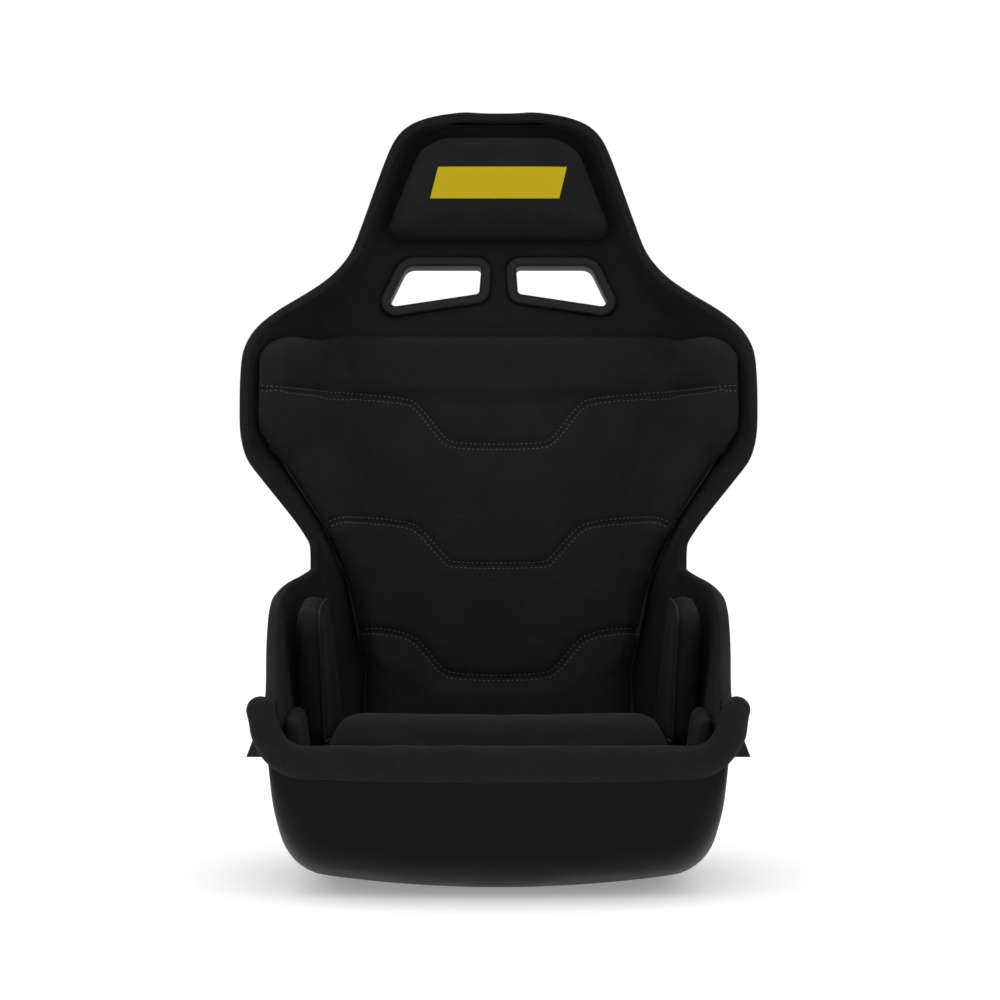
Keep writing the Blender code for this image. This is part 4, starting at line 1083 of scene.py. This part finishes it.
def outlineOf(shape, inset, height, count=40):
    # the cushion's outline, moved in, as a closed line at one height
    made = []
    low, high = inset, shape.length - inset
    for k in range(count):
        along = low + (high - low) * (1 - math.cos(math.pi * k / (count - 1))) / 2
        made.append((along, shape.reach(along) - inset))
    loop = [(a, r) for a, r in made]
    ends = [(high, made[-1][1] * (1 - 2 * j / 8)) for j in range(1, 8)]
    other = [(a, -r) for a, r in reversed(made)]
    start = [(low, -made[0][1] * (1 - 2 * j / 8)) for j in range(1, 8)]
    return [shape.at(a, r, height) for a, r in loop + ends + other + start]


def pipeAlong(name, loop, radius, body, material):
    normals = []
    for k, point in enumerate(loop):
        before, after = loop[k - 1], loop[(k + 1) % len(loop)]
        run = (after - before).normalized()
        up = Vector((0, 0, 1)) if abs(run.z) < 0.8 else Vector((0, 1, 0))
        normals.append((up - run * up.dot(run)).normalized())
    frames = []
    for k, point in enumerate(loop):
        run = (loop[(k + 1) % len(loop)] - loop[k - 1]).normalized()
        normal = (normals[k] - run * normals[k].dot(run)).normalized()
        frames.append((point, run.cross(normal).normalized(), normal))
    circle = [(radius * math.cos(2 * math.pi * j / 10), radius * math.sin(2 * math.pi * j / 10))
              for j in range(10)]
    made = sweep(name, frames, lambda _: circle, material, body, closed=True)
    return made


for part in ("hip", "thigh"):
    values = sides[part]
    for side, sign in (("left", -1), ("right", 1)):
        shape = sideShape(values, sign)
        cushion = smoothPiece(f"{part}Cushion_{side}", cushionForm(shape, 44, 40), coverKnit)
        puffUp(cushion, lambda p: np.zeros(len(p)), 0.002, 2.0)
        finer(cushion, 2)
        if part == "hip":
            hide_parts(f"hip_cushion_{side}_cover", f"hip_cushion_{side}_foam")
        else:
            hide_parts(f"thigh_cushion_{side}")
        if part == "hip":
            loop = outlineOf(shape, values["edge"] * 0.55, values["thick"] - 0.0022)
            pipeAlong(f"hipPiping_{side}", loop, sides["piping"], "seat", pipingKnit)
print("side cushions made")

# seat cushion, a wedge whose front rolls over just behind the lip
seat = {
    "half": 0.1765, "halfRear": 0.1640, "front": -0.2410, "rear": 0.1120, "corner": 0.014, "edge": 0.026,
    "base": ((-0.2410, 0.0680), (-0.2150, 0.0440), (-0.1700, 0.0250), (-0.0600, 0.0140),
             (0.0400, 0.0125), (0.1120, 0.0310)),
    "top": ((-0.2410, 0.1690), (-0.2100, 0.1770), (-0.1500, 0.1630), (-0.0600, 0.1280),
            (0.0300, 0.1000), (0.1120, 0.0880)),
}


def seatShape():
    baseY, baseZ = zip(*seat["base"])
    topY, topZ = zip(*seat["top"])

    def at(along, across, height):
        y = seat["front"] + along
        ahead = max(0.0, 1 - along / 0.07) ** 2 * 0.5
        bowed = frontBow[0] * ahead * (1 - (across / seat["half"]) ** 2)
        return Vector((across, y - bowed - shiftBack, float(np.interp(y, baseY, baseZ)) + height))

    def thickness(along):
        y = seat["front"] + along
        return float(np.interp(y, topY, topZ) - np.interp(y, baseY, baseZ))

    def half(along):
        # full under the thighs and narrower between the hips
        share = min(max((along - 0.10) / 0.14, 0.0), 1.0)
        return seat["half"] + (seat["halfRear"] - seat["half"]) * share

    return Cushion(at, seat["rear"] - seat["front"], half,
                   (seat["corner"],) * 2, thickness, 0.0025, seat["edge"])


seatCushion = smoothPiece("seatCushion", cushionForm(seatShape(), 60, 60), coverKnit, "seat_cushion")
puffUp(seatCushion, lambda p: np.where(p[:, 2] < 0.04, 1.0, 0.0), 0.004)
finer(seatCushion)
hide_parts("seat_cushion_cover", "seat_cushion_foam")
print("seat cushion made")

# floor, light and camera
studio = {"floor": "f4f4f4", "world": 1.0, "key": 5.0, "cameraAway": 3.1657, "cameraHigh": 0.387,
          "lens": 107.5}


def makeFloor():
    bm = bmesh.new()
    bmesh.ops.create_grid(bm, x_segments=1, y_segments=1, size=12.0)
    made, tree, shader, place = newMaterial("paleFloor")
    shader.inputs["Base Color"].default_value = hexColour(studio["floor"])
    shader.inputs["Roughness"].default_value = 0.9
    shader.inputs["Specular IOR Level"].default_value = 0.1
    shader.inputs["Emission Color"].default_value = (1, 1, 1, 1)
    shader.inputs["Emission Strength"].default_value = 0.28
    floor = smoothPiece("floor", bm, made, body=None)


def areaLight(name, place, target, size, power):
    data = bpy.data.lights.new(name, "AREA")
    data.shape = "RECTANGLE"
    data.size, data.size_y = size
    data.energy = power
    light = bpy.data.objects.new(name, data)
    light.location = place
    light.rotation_euler = (Vector(target) - Vector(place)).to_track_quat("-Z", "Y").to_euler()
    bpy.context.scene.collection.objects.link(light)


makeFloor()
world = bpy.data.worlds.new("studio")
bpy.context.scene.world = world
world.use_nodes = True
world.node_tree.nodes["Background"].inputs["Color"].default_value = (1, 1, 1, 1)
world.node_tree.nodes["Background"].inputs["Strength"].default_value = studio["world"]
areaLight("overhead", (0, -0.6, 2.6), (0, 0, 0.4), (2.0, 2.0), studio["key"])
areaLight("leftSide", (-2.4, -1.6, 1.4), (0, 0, 0.4), (1.4, 2.0), studio["key"] * 0.5)
areaLight("rightSide", (2.4, -1.6, 1.4), (0, 0, 0.4), (1.4, 2.0), studio["key"] * 0.5)

cameraData = bpy.data.cameras.new("camera")
cameraData.lens = studio["lens"]
cameraData.sensor_width = 36.0
camera = bpy.data.objects.new("camera", cameraData)
camera.location = (0.0016, -studio["cameraAway"], studio["cameraHigh"])
camera.rotation_euler = (math.radians(90), 0, 0)
bpy.context.scene.collection.objects.link(camera)
bpy.context.scene.camera = camera
bpy.context.scene.view_settings.view_transform = "Standard"
print("studio ready")
